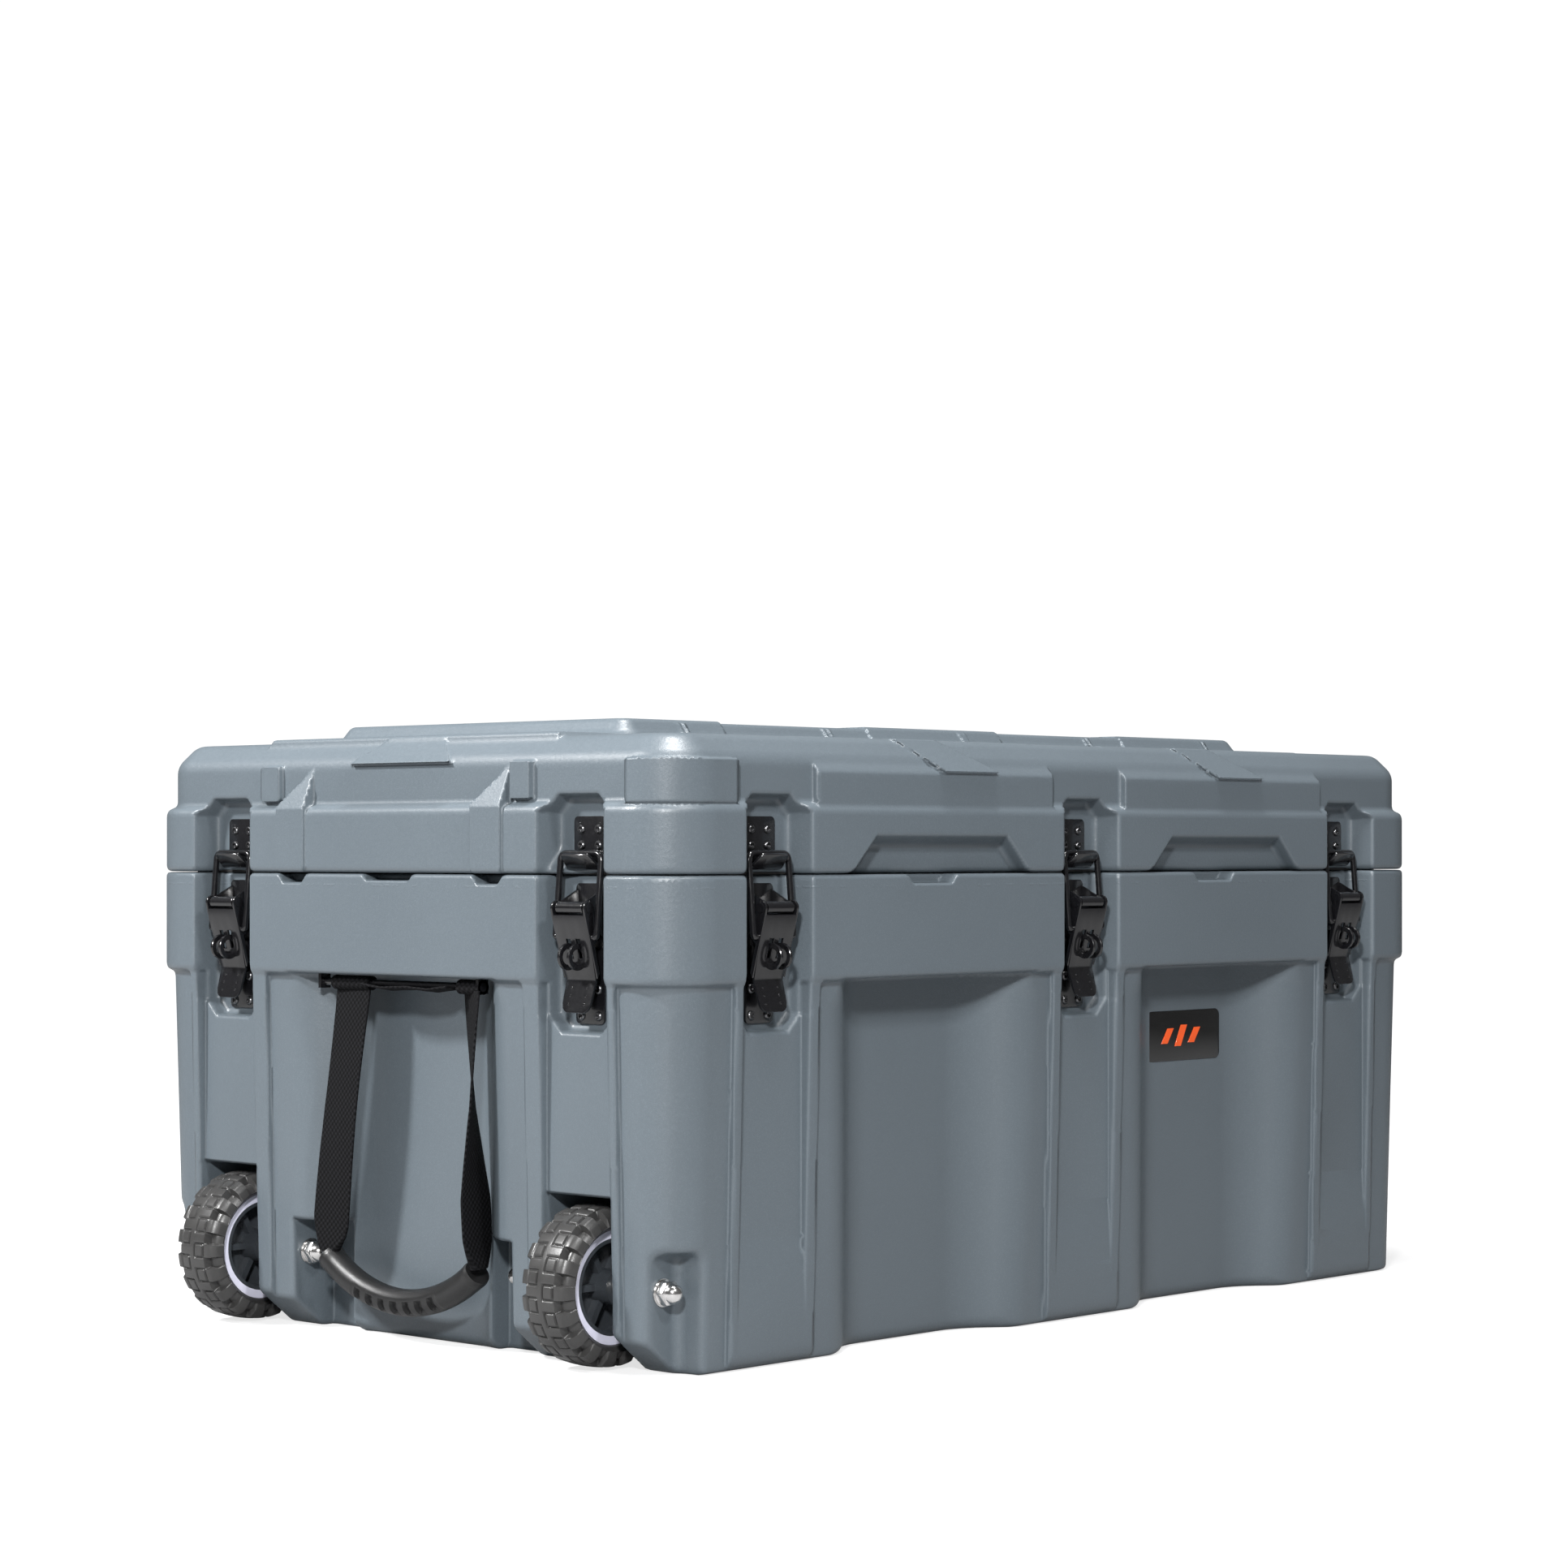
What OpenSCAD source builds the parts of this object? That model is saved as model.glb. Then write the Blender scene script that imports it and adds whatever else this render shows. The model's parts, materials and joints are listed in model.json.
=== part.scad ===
// Rolling storage case: rotomoulded tub and lift-off lid, ten draw latches, two wheels and two strap handles.
// The wheels are at the -X end. The origin is under the middle of the whole object, on the floor.

/* [Case] */
// Length over the rim
case_l = 980; // [940:1:1200]
// Width over the rim
case_w = 614; // [580:1:740]
// Corner radius of the rim
corner_r = 50; // [44:1:56]
// Height of the tub
tub_h = 364; // [340:1:460]
// Height of the band round the top of the tub
tub_rim_h = 79; // [74:1:90]
// Height of the band round the bottom of the lid
lid_rim_h = 52; // [50:1:60]
// Height of the lid from its rim band to the start of the bevel
lid_wall_h = 34; // [30:1:50]
// Height and width of the bevel round the lid
lid_bevel = 17; // [12:1:22]
// Height of the raised panel on the lid
top_panel_h = 15; // [8:1:20]
// Wall thickness of the mouldings
wall = 6; // [5:0.5:8]
// Thickness of the walls at the rim and pillars, with their inner stiffening
side_t = 8; // [7:0.5:14]
// How far the tub's body is set in from its rim
body_inset = 6; // [3:0.5:8]
// How far the lid's upper wall is set in from its rim
lid_inset = 9; // [6:0.5:12]
// Gap between the tub and the lid at the seam
seam_gap = 0.8; // [0.5:0.1:1.5]

/* [Side pockets] */
// Depth of the side and end pockets from the rim face
pocket_depth = 42; // [34:1:46]
// Width of the flat frame beside each pocket
pocket_frame = 30; // [20:1:34]
// Width of the sloping side of a pocket
pocket_slope = 38; // [30:1:42]
// Distance from a latch centre to the frame of a pocket
pillar_half = 47; // [44:1:52]

/* [Latches] */
// Distance from a side latch centre to the end of the case
latch_end_gap = 117; // [112:1:140]
// Distance from an end latch centre to the side of the case
latch_side_gap = 104; // [100:1:120]
// Width of a latch recess
recess_w = 71; // [66:1:76]
// Depth of a latch recess from the rim face
recess_depth = 24; // [22:1:26]
// Depth of the recess that carries on below the latch
channel_depth = 12; // [9:1:14]
// Height of the latch recess above the seam
recess_up = 61; // [60:1:64]
// Depth of the latch recess below the seam
recess_down = 118; // [114:1:124]
// Corner chamfer of the latch recess
recess_chamfer = 14; // [8:1:18]
// Diameter of the latch pivot pin
latch_pin_d = 5; // [4:0.1:5]
// Diameter of the bail's rod
rod_d = 5; // [4:0.1:5]
// Sheet thickness of the latch plates
plate_t = 2; // [1.5:0.1:2.2]
// Outer width of the lever
lever_w = 36; // [34:1:38]
// Outer diameter of a padlock ring
ring_d = 20; // [18:1:21]

/* [Wheels] */
// Diameter of the tyre
tyre_d = 120; // [110:1:124]
// Width of the tyre
tyre_w = 50; // [44:1:54]
// Outer diameter of the pale ring on the hub
trim_d = 84; // [78:1:88]
// Diameter of the axle
axle_d = 10; // [8:1:12]
// Radial clearance of the hub on its axle
axle_clearance = 0.06; // [0.03:0.01:0.1]
// How far the wheel's centre is inside the rim face
axle_in = 30; // [28:1:36]
// Height of the tread above the floor plane
wheel_lift = 1; // [0.5:0.5:3]

/* [Handles] */
// Width of the webbing
strap_w = 42; // [30:1:44]
// Thickness of the webbing
strap_t = 3; // [2:0.5:4]
// Length of the handle from the anchor bar to the grip's ends
strap_drop = 212; // [190:1:230]
// Diameter of the grip
grip_d = 22; // [18:1:26]

/* [Hidden] */
$fn = 64;
EPS = 0.01;
TOL = 0.3; // clear gap between pieces that move past each other

seam_z = tub_h;
rim_z = seam_z - tub_rim_h;
lid_z = seam_z + seam_gap;
lid_rim_z = lid_z + lid_rim_h;
lid_bevel_z = lid_rim_z + lid_wall_h;
lid_top_z = lid_bevel_z + lid_bevel;
lid_panel_z = lid_top_z + top_panel_h;

latch_a = case_l / 2 - latch_end_gap; // side latches at -a, 0 and a along X
latch_b = case_w / 2 - latch_side_gap; // end latches at -b and b along Y
recess_back = recess_depth + wall; // inside face of the wall behind a latch
recess_top_z = seam_z + recess_up;
recess_low_z = seam_z - recess_down;

side_pocket_half = latch_a / 2 - pillar_half;
end_pocket_half = latch_b - pillar_half - 6;
floor_t = wall;
land_t = 12; // depth of the sealing land at the seam

// The wheel stands out of the -X end, so the case is moved to keep the origin in the middle
wheel_r = tyre_d / 2;
axle_x = -case_l / 2 + axle_in;
axle_z = wheel_r + wheel_lift;
ring_proud = 6; // padlock rings stand this far out of the rim
shift_x = (case_l / 2 + ring_proud - (axle_x - wheel_r)) / 2 - (case_l / 2 + ring_proud);

// Latch geometry, measured out from the back of the recess and up from the floor
pin_out = 20;
pin_z = seam_z - 24;
foot_out = 16.5; // bail foot
foot_z = seam_z - 45.5;
bar_out = 11; // bail bar in the hook
bar_z = seam_z + 16;
leg_half = 21.5; // bail legs, either side of the lever
barrel_d = 9.4;
barrel_half = 14;
pin_half = lever_w / 2 + 0.8;

lever_knee_out = 11.5;
lever_knee_z = seam_z - 78;
lever_tip_out = 18;
lever_tip_z = seam_z - 101;
ring_out = recess_depth + ring_proud - ring_d / 2;
ring_z = seam_z - 60;
ring_gap = 5; // half the distance between the two rings
screw_d = 4;
screw_bite = wall - 0.8; // the screws stop inside the wall

// name, position of the middle of the recess's back, turn about Z
LATCHES = [
    for (i = [0:2]) [str("front_", i + 1), [(i - 1) * latch_a, -case_w / 2 + recess_depth], 0],
    for (i = [0:2]) [str("back_", i + 1), [(i - 1) * latch_a, case_w / 2 - recess_depth], 180],
    for (i = [0:1]) [str("wheel_end_", i + 1), [-case_l / 2 + recess_depth, (2 * i - 1) * latch_b], -90],
    for (i = [0:1]) [str("far_end_", i + 1), [case_l / 2 - recess_depth, (2 * i - 1) * latch_b], 90]
];
SIDES = [["front", [0, 1, 2]], ["back", [3, 4, 5]], ["wheel_end", [6, 7]], ["far_end", [8, 9]]];

end_mouth = end_pocket_half - pocket_frame; // half the end pocket's mouth, which the handle hangs in
bar_len = 2 * (end_mouth - 28); // anchor bar of a strap handle
bar_r = 3;
strap_mid = -2; // middle of the anchor bar
bar_in = 14; // anchor bar behind the rim face
sleeve_r = bar_r + TOL + strap_t - 0.5;
anchor_z = rim_z - sleeve_r - 0.7;
// Both legs and the grip keep their distance from the mouth's edges
leg_top = [end_mouth - 66, 49 - end_mouth]; // where the two legs leave the bar
leg_low = [end_mouth - 39, 33 - end_mouth]; // where they meet the grip
grip_span = leg_low[0] - leg_low[1] + 4;
grip_sag = 30;

BLUE_GREY = [0.42, 0.46, 0.50];
BLACK = [0.05, 0.05, 0.055];
RUBBER = [0.09, 0.09, 0.09];
STEEL = [0.75, 0.75, 0.77];
PALE = [0.86, 0.87, 0.92];

// ---------- shared shapes ----------

module rounded(l, w, r) {
    square([l - 2 * r, w], center = true);
    square([l, w - 2 * r], center = true);
    for (sx = [-1, 1], sy = [-1, 1]) translate([sx * (l / 2 - r), sy * (w / 2 - r)]) circle(r);
}

// Rounded slab set in from the rim by a distance
module slab(inset, z0, z1) {
    translate([0, 0, z0]) linear_extrude(z1 - z0)
        rounded(case_l - 2 * inset, case_w - 2 * inset, max(corner_r - inset, 4));
}

module at_latch(i) {
    translate([LATCHES[i][1][0], LATCHES[i][1][1], 0]) rotate([0, 0, LATCHES[i][2]]) children();
}

// Outline in the wall's own plane, pushed out from the recess's back
module out_of_wall(from, to) {
    translate([0, -from, 0]) rotate([90, 0, 0]) linear_extrude(to - from) children();
}

module tube_x(r, half) {
    rotate([0, 90, 0]) cylinder(r = r, h = 2 * half, center = true);
}

module tube_y(r, y0, y1) {
    translate([0, y0, 0]) rotate([-90, 0, 0]) cylinder(r = r, h = y1 - y0);
}

// ---------- tub and lid ----------

module recess_outline(half, z_low, z_high, c) {
    polygon([[-half, z_low + c], [-half + c, z_low], [half - c, z_low], [half, z_low + c],
             [half, z_high - c], [half - c, z_high], [-half + c, z_high], [-half, z_high - c]]);
}

module latch_recess(i) {
    at_latch(i) out_of_wall(0, recess_depth + 5)
        recess_outline(recess_w / 2, recess_low_z, recess_top_z, recess_chamfer);
}

module latch_channel(i) {
    at_latch(i) translate([-recess_w / 2, -recess_depth - 5, -5])
        cube([recess_w, channel_depth + 5, rim_z]);
}

// Solid that backs a latch recess from the inside
module recess_back_block(i, z0, z1) {
    at_latch(i) translate([-recess_w / 2 - wall, -recess_depth, z0])
        cube([recess_w + 2 * wall, recess_back, z1 - z0]);
}

// Pocket outline seen from above: flat frame, sloping sides, deep middle
module pocket_outline(half, depth, grow) {
    flush = half - pocket_frame + grow;
    deep = flush - pocket_slope;
    polygon([[-flush - 8, -8], [-flush, 0], [-deep, depth + grow], [deep, depth + grow], [flush, 0], [flush + 8, -8]]);
}

module each_pocket() {
    for (sx = [-1, 1], sy = [-1, 1])
        translate([sx * latch_a / 2, sy * case_w / 2, 0]) rotate([0, 0, sy > 0 ? 180 : 0])
            children(0);
    for (sx = [-1, 1])
        translate([sx * case_l / 2, 0, 0]) rotate([0, 0, sx * 90]) children(1);
}

module pockets(grow, z0, z1) {
    each_pocket() {
        translate([0, 0, z0]) linear_extrude(z1 - z0) pocket_outline(side_pocket_half, pocket_depth, grow);
        translate([0, 0, z0]) linear_extrude(z1 - z0) pocket_outline(end_pocket_half, pocket_depth, grow);
    }
}

well_half = recess_w / 2;
well_in = axle_in + wheel_r + 8; // wheel well from the rim face
well_top = axle_z + wheel_r + 7;
nut_face_out = case_w / 2 - 37; // outer seat of the axle
nut_face_in = latch_b - 76; // inner seat of the axle
niche_half = 20;
niche_top = axle_z + 27;

module wheel_wells(grow) {
    for (sy = [-1, 1])
        translate([-case_l / 2 - 5, sy * latch_b - well_half - grow, -5])
            cube([well_in + 5 + grow, 2 * (well_half + grow), well_top + 5 + grow]);
}

// Niches that hold the axle nuts, outside and inside each wheel
module nut_niches() {
    for (sy = [-1, 1]) {
        translate([axle_x - niche_half, sy > 0 ? nut_face_out : -case_w / 2 - 5, -5])
            cube([2 * niche_half, case_w / 2 + 5 - nut_face_out, niche_top + 5]);
        translate([-case_l / 2 - 5, sy > 0 ? nut_face_in - 46 : -nut_face_in, -5])
            cube([axle_in + niche_half + 10, 46, niche_top + 5]);
    }
}

module niche_blocks() {
    for (sy = [-1, 1]) {
        translate([axle_x - niche_half - wall, sy > 0 ? latch_b : -case_w / 2, 0])
            cube([2 * (niche_half + wall), case_w / 2 - latch_b, niche_top + wall]);
        translate([-case_l / 2, sy > 0 ? nut_face_in - 52 : -latch_b, 0])
            cube([axle_in + niche_half + 11, latch_b - nut_face_in + 52, niche_top + wall]);
    }
}

tip_rise = 31; // chamfer under the wheel end
tip_run = 44;

module tip_chamfer() {
    translate([-case_l / 2 - 1, case_w / 2 + 1, 0]) rotate([90, 0, 0]) linear_extrude(case_w + 2)
        polygon([[-5, -5], [tip_run, -5], [tip_run, 0], [body_inset, tip_rise], [-5, tip_rise]]);
}

module tub_cavity() {
    slab(recess_back, seam_z - land_t, seam_z + 1);
    difference() {
        slab(side_t, rim_z + wall, seam_z - land_t + EPS);
        for (i = [0:9]) recess_back_block(i, 0, seam_z);
    }
    difference() {
        slab(body_inset + side_t, floor_t, rim_z + wall + EPS);
        for (i = [0:9]) recess_back_block(i, 0, seam_z);
        pockets(wall, 0, rim_z + wall);
        wheel_wells(wall);
        niche_blocks();
    }
}

// Slot in the tub's top edge below each finger pocket
module edge_notches() {
    for (sx = [-1, 1], sy = [-1, 1])
        translate([sx * latch_a / 2 - 30, sy > 0 ? case_w / 2 - 6 : -case_w / 2 - 1, seam_z - 7])
            cube([60, 7, 8]);
}

module tub_moulding() {
    difference() {
        union() {
            slab(0, rim_z, seam_z);
            slab(body_inset, 0, rim_z + EPS);
        }
        tub_cavity();
        pockets(0, -5, rim_z);
        for (i = [0:9]) latch_recess(i);
        for (i = [0:9]) latch_channel(i);
        wheel_wells(0);
        nut_niches();
        tip_chamfer();
        edge_notches();
        for (sy = [-1, 1]) translate([axle_x, sy * (nut_face_in + nut_face_out) / 2, axle_z])
            tube_y(axle_d / 2 + 0.05, -90, 90);
    }
}

finger_half = 105;
finger_h = 29;
finger_slant = 28;
finger_depth = 14;
panel_l = case_l - 170;
panel_w = case_w - 270;
panel_r = 24;
panel_seg = panel_l / 5;

module finger_outline(grow) {
    polygon([[-finger_half - grow, -5], [-finger_half - grow, 0], [-finger_half + finger_slant - grow, finger_h + grow],
             [finger_half - finger_slant + grow, finger_h + grow], [finger_half + grow, 0], [finger_half + grow, -5]]);
}

module finger_pockets(grow) {
    for (sx = [-1, 1], sy = [-1, 1])
        translate([sx * latch_a / 2, sy * (case_w / 2 - finger_depth - grow), lid_z]) rotate([90, 0, sy > 0 ? 180 : 0])
            linear_extrude(finger_depth + grow + 5) finger_outline(grow);
}

module lid_cavity() {
    slab(recess_back, lid_z - 1, lid_z + 9);
    difference() {
        slab(side_t, lid_z + 9 - EPS, lid_rim_z - wall);
        for (i = [0:9]) recess_back_block(i, lid_z, recess_top_z + wall);
        finger_pockets(wall);
    }
    difference() {
        slab(lid_inset + side_t, lid_rim_z - wall - EPS, lid_bevel_z - wall / 2);
        for (i = [0:9]) recess_back_block(i, lid_z, recess_top_z + wall);
    }
    slab(lid_inset + lid_bevel + wall, lid_bevel_z - wall / 2 - EPS, lid_top_z - wall);
    translate([0, 0, lid_top_z - wall - EPS]) linear_extrude(top_panel_h + EPS)
        rounded(panel_l - 2 * wall, panel_w - 2 * wall, panel_r - wall);
}

// Raised panel in five lengths, with a shallow groove between them
module top_panel() {
    difference() {
        translate([0, 0, lid_top_z - EPS]) linear_extrude(top_panel_h + EPS) rounded(panel_l, panel_w, panel_r);
        for (i = [1:4]) translate([-panel_l / 2 + i * panel_seg - 3, -panel_w / 2 - 1, lid_panel_z - 2.5])
            cube([6, panel_w + 2, 3]);
    }
}

module gasket_ring(inner, outer, z0, z1) {
    difference() {
        slab(outer, z0, z1);
        slab(inner, z0 - 1, z1 + 1);
    }
}

gasket_out = recess_depth + 1.2;
gasket_in = recess_back - 1.2;

module lid_moulding() {
    difference() {
        union() {
            slab(0, lid_z, lid_rim_z);
            slab(lid_inset, lid_rim_z - EPS, lid_bevel_z);
            hull() {
                slab(lid_inset, lid_bevel_z - 0.1, lid_bevel_z, $fn = 32);
                slab(lid_inset + lid_bevel, lid_top_z - 0.1, lid_top_z, $fn = 32);
            }
            top_panel();
        }
        lid_cavity();
        for (i = [0:9]) latch_recess(i);
        finger_pockets(0);
        gasket_ring(gasket_in, gasket_out, lid_z - 1, lid_z + 3);
    }
}

// The tub and the lid are one moulding each. Both are divided into plain blocks, where no pocket or recess is cut:
// name, span along the case, span across it
side_y = case_w / 2 - pocket_depth - wall - 1;
far_x = case_l / 2 - pocket_depth - wall - 1;
well_x = -case_l / 2 + well_in + wall + 1;
join_x = (recess_w / 2 + wall + pillar_half) / 2;
lid_y = case_w / 2 - recess_back - 10;
lid_x = case_l / 2 - recess_back - 10;

TUB_BLOCKS = [
    ["tub_front_1", [-case_l, join_x], [-case_w, -side_y]],
    ["tub_front_2", [join_x, case_l], [-case_w, -side_y]],
    ["tub_back_1", [-case_l, join_x], [side_y, case_w]],
    ["tub_back_2", [join_x, case_l], [side_y, case_w]],
    ["tub_wheel_end", [-case_l, well_x], [-side_y, side_y]],
    ["tub_far_end", [far_x, case_l], [-side_y, side_y]],
    ["tub_floor", [well_x, far_x], [-side_y, side_y]]
];
LID_BLOCKS = [
    ["lid_front", [-case_l, case_l], [-case_w, -lid_y]],
    ["lid_back", [-case_l, case_l], [lid_y, case_w]],
    ["lid_wheel_end", [-case_l, -lid_x], [-lid_y, lid_y]],
    ["lid_far_end", [lid_x, case_l], [-lid_y, lid_y]],
    ["lid_top", [-lid_x, lid_x], [-lid_y, lid_y]]
];

module within(block) {
    color(BLUE_GREY) translate([shift_x, 0, 0]) intersection() {
        children();
        translate([block[1][0], block[2][0], -1])
            cube([block[1][1] - block[1][0], block[2][1] - block[2][0], lid_panel_z + 2]);
    }
}

module lid_gasket() {
    color(BLACK) translate([shift_x, 0, 0]) gasket_ring(gasket_in, gasket_out, lid_z - seam_gap + TOL, lid_z + 3);
}

// Round-cornered plate low on the side pocket nearer the far end
module badge() {
    badge_l = 112;
    badge_h = 43;
    badge_z = 223.5;
    badge_back = 12.5; // its middle is this far back from the middle of the pocket
    color(BLACK) translate([shift_x + latch_a / 2 - badge_back, -case_w / 2 + pocket_depth, badge_z])
        out_of_wall(0, 2.5) rounded(badge_l, badge_h, 6);
}

// ---------- latches ----------

module bracket() {
    difference() {
        union() {
            out_of_wall(0, plate_t) translate([-15, seam_z - 110]) square([30, 104]);
            for (s = [-1, 1]) translate([s * (barrel_half - plate_t / 2), 0, 0]) rotate([90, 0, -90])
                translate([0, 0, -plate_t / 2]) linear_extrude(plate_t) {
                    polygon([[plate_t - EPS, pin_z - 22], [pin_out, pin_z - barrel_d / 2], [pin_out, pin_z + barrel_d / 2],
                             [plate_t - EPS, pin_z + 14]]);
                    translate([pin_out, pin_z]) circle(barrel_d / 2);
                }
            translate([0, -pin_out, pin_z]) tube_x(barrel_d / 2, barrel_half);
            for (s = [-1, 1]) padlock_ring(s * ring_gap);
        }
        translate([0, -pin_out, pin_z]) tube_x(latch_pin_d / 2 + 0.02, barrel_half + 1);
        for (s = [-1, 1], z = [seam_z - 104, seam_z - 84]) translate([s * 9, 1, z]) rotate([90, 0, 0])
            cylinder(d = screw_d + 0.3, h = 6);
    }
}

// Plate on edge with a hole for a padlock's shackle
module padlock_ring(x) {
    translate([x, 0, 0]) rotate([90, 0, -90]) translate([0, 0, -1.25]) linear_extrude(2.5) difference() {
        union() {
            translate([ring_out, ring_z]) circle(ring_d / 2);
            translate([plate_t - EPS, ring_z - 7]) square([ring_out - plate_t, 14]);
        }
        translate([ring_out, ring_z]) circle(ring_d / 2 - 4.2);
    }
}

module keeper() {
    t = plate_t;
    web_z = seam_z + 5.8;
    difference() {
        union() {
            out_of_wall(0, t) union() {
                translate([-17, web_z - t]) square([34, seam_z + 38 - web_z + t]);
                translate([-12, seam_z + 38]) square([24, 5]);
                for (s = [-1, 1]) translate([s * 12, seam_z + 38]) circle(5);
            }
            rotate([90, 0, -90]) translate([0, 0, -17]) linear_extrude(34)
                polygon([[0, web_z - t], [bar_out - 3.2, web_z - t], [bar_out + 8.2, web_z + 9.4], [bar_out + 6.8, web_z + 10.8],
                         [bar_out - 4, web_z], [0, web_z]]);
        }
        for (s = [-1, 1], z = [seam_z + 22, seam_z + 34]) translate([s * 9, 1, z]) rotate([90, 0, 0])
            cylinder(d = screw_d + 0.3, h = 6);
    }
}

flange_hole = latch_pin_d / 2 + 0.06;

// Pressed lever: face with two slots, side flanges on the pin, flared finger tab
module lever() {
    t = plate_t;
    top_z = pin_z - barrel_d / 2 - 0.6;
    top_out = recess_depth + 0.5;
    half = lever_w / 2;
    difference() {
        union() {
            rotate([90, 0, -90]) translate([0, 0, -half]) linear_extrude(2 * half)
                polygon([[top_out, top_z], [lever_knee_out, lever_knee_z], [lever_tip_out, lever_tip_z],
                         [lever_tip_out - t, lever_tip_z], [lever_knee_out - t, lever_knee_z], [top_out - t, top_z]]);
            for (s = [-1, 1]) translate([s * (half - t / 2), 0, 0]) rotate([90, 0, -90])
                translate([0, 0, -t / 2]) linear_extrude(t) {
                    translate([pin_out, pin_z]) circle(5.6);
                    translate([foot_out, foot_z]) circle(5);
                    polygon([[pin_out - 5.6, pin_z], [foot_out - 5, foot_z], [lever_knee_out - t, lever_knee_z + 4],
                             [lever_knee_out, lever_knee_z + 2], [top_out, top_z], [pin_out + 5.6, pin_z]]);
                }
        }
        for (s = [-1, 1]) translate([s * ring_gap - 2.1, -40, ring_z - 13.5]) cube([4.2, 40, 27]);
        translate([0, -pin_out, pin_z]) tube_x(flange_hole, half + 1);
        translate([0, -foot_out, foot_z]) tube_x(rod_d / 2 + 0.06, half + 1);
    }
}

// Bent rod: two feet through the lever, two legs, one bar in the keeper's hook
module bail() {
    r = rod_d / 2;
    foot_in = lever_w / 2 - plate_t;
    lean = atan((foot_out - bar_out) / (bar_z - foot_z));
    leg = norm([foot_out - bar_out, bar_z - foot_z]);
    translate([0, -bar_out, bar_z]) tube_x(r, leg_half);
    for (s = [-1, 1]) {
        translate([s * leg_half, -foot_out, foot_z]) rotate([-lean, 0, 0]) cylinder(r = r, h = leg);
        translate([s * leg_half, -foot_out, foot_z]) sphere(r);
        translate([s * leg_half, -bar_out, bar_z]) sphere(r);
        translate([s * (leg_half + foot_in) / 2, -foot_out, foot_z]) tube_x(r, (leg_half - foot_in) / 2);
    }
}

module latch_pins() {
    color(BLACK) translate([shift_x, 0, 0]) for (i = [0:9]) at_latch(i) translate([0, -pin_out, pin_z]) {
        tube_x(latch_pin_d / 2, pin_half);
        for (s = [-1, 1]) translate([s * (lever_w / 2 + 0.5), 0, 0]) tube_x(latch_pin_d / 2 + 1.2, 0.3);
    }
}

// Screw through a plate and into the wall behind it
module screw() {
    rotate([90, 0, 0]) {
        translate([0, 0, -screw_bite]) cylinder(d = screw_d, h = screw_bite + plate_t + EPS);
        translate([0, 0, plate_t]) cylinder(d1 = 7.4, d2 = 5, h = 1.6);
    }
}

module screw_set(zs) {
    color(STEEL) translate([shift_x, 0, 0]) for (i = [0:9]) at_latch(i)
        for (s = [-1, 1], z = zs) translate([s * 9, 0, z]) screw();
}

module bracket_screws() { screw_set([seam_z - 104, seam_z - 84]); }
module keeper_screws() { screw_set([seam_z + 22, seam_z + 34]); }

// ---------- wheels ----------

module at_wheel(s) {
    translate([shift_x + axle_x, s * latch_b, axle_z]) rotate([90, 0, 0]) children();
}

// Crowned tyre
module tyre(s) {
    h = tyre_w / 2;
    r_in = trim_d / 2 + 0.5;
    color(RUBBER) at_wheel(s) rotate_extrude($fn = 96)
        polygon([[r_in, -17], [r_in + 8, -h + 2], [wheel_r - 8, -h], [wheel_r - 2.5, -h + 5], [wheel_r, -h + 13],
                 [wheel_r, h - 13], [wheel_r - 2.5, h - 5], [wheel_r - 8, h], [r_in + 8, h - 2], [r_in, 17]]);
}

hub_half = 22;
hub_bore = axle_d / 2 + axle_clearance;

module hub(s) {
    rim_r = trim_d / 2;
    color([0.16, 0.17, 0.18]) at_wheel(s) difference() {
        union() {
            cylinder(r = 13, h = 2 * hub_half, center = true);
            difference() {
                cylinder(r = rim_r - 6, h = 34, center = true);
                cylinder(r = rim_r - 9, h = 35, center = true);
            }
            cylinder(r = rim_r - 8, h = 6, center = true);
            difference() {
                cylinder(r = rim_r + 0.5, h = 26, center = true);
                cylinder(r = rim_r - 7, h = 27, center = true);
            }
            for (k = [0:5]) rotate([0, 0, 60 * k]) translate([(rim_r + 4) / 2, 0, 0])
                cube([rim_r - 20, 5, 20], center = true);
        }
        cylinder(r = hub_bore, h = 2 * hub_half + 2, center = true);
    }
}

module hub_trim(s) {
    rim_r = trim_d / 2;
    color(PALE) at_wheel(s) for (t = [-1, 1]) translate([0, 0, t * 15]) difference() {
        cylinder(r = rim_r + 0.5, h = 4, center = true);
        cylinder(r = rim_r - 6, h = 5, center = true);
    }
}

module each_axle() {
    for (s = [-1, 1]) translate([shift_x + axle_x, 0, axle_z]) mirror([0, s > 0 ? 0 : 1, 0]) children();
}

washer_t = 1.6;

module axle_bolts() {
    color(STEEL) each_axle() tube_y(axle_d / 2, nut_face_in - washer_t - 7, nut_face_out + washer_t + 7);
}

// Domed nut along +Y
module dome_nut() {
    difference() {
        union() {
            rotate([-90, 0, 0]) cylinder(d = 19.6, h = 8, $fn = 6);
            translate([0, 8, 0]) rotate([-90, 0, 0]) cylinder(d1 = 16.5, d2 = 14, h = 1);
            translate([0, 9, 0]) sphere(7.6);
            tube_y(9.6, 0, 2);
        }
        tube_y(axle_d / 2 - EPS, -1, 7.02);
    }
}

module axle_nuts() {
    color(STEEL) each_axle() {
        translate([0, nut_face_out + washer_t, 0]) dome_nut();
        translate([0, nut_face_in - washer_t, 0]) mirror([0, 1, 0]) dome_nut();
    }
}

module axle_washers() {
    color(STEEL) each_axle() for (y = [nut_face_out, nut_face_in - washer_t]) difference() {
        tube_y(10.5, y, y + washer_t);
        tube_y(axle_d / 2 + 0.02, y - 1, y + washer_t + 1);
    }
}

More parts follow.
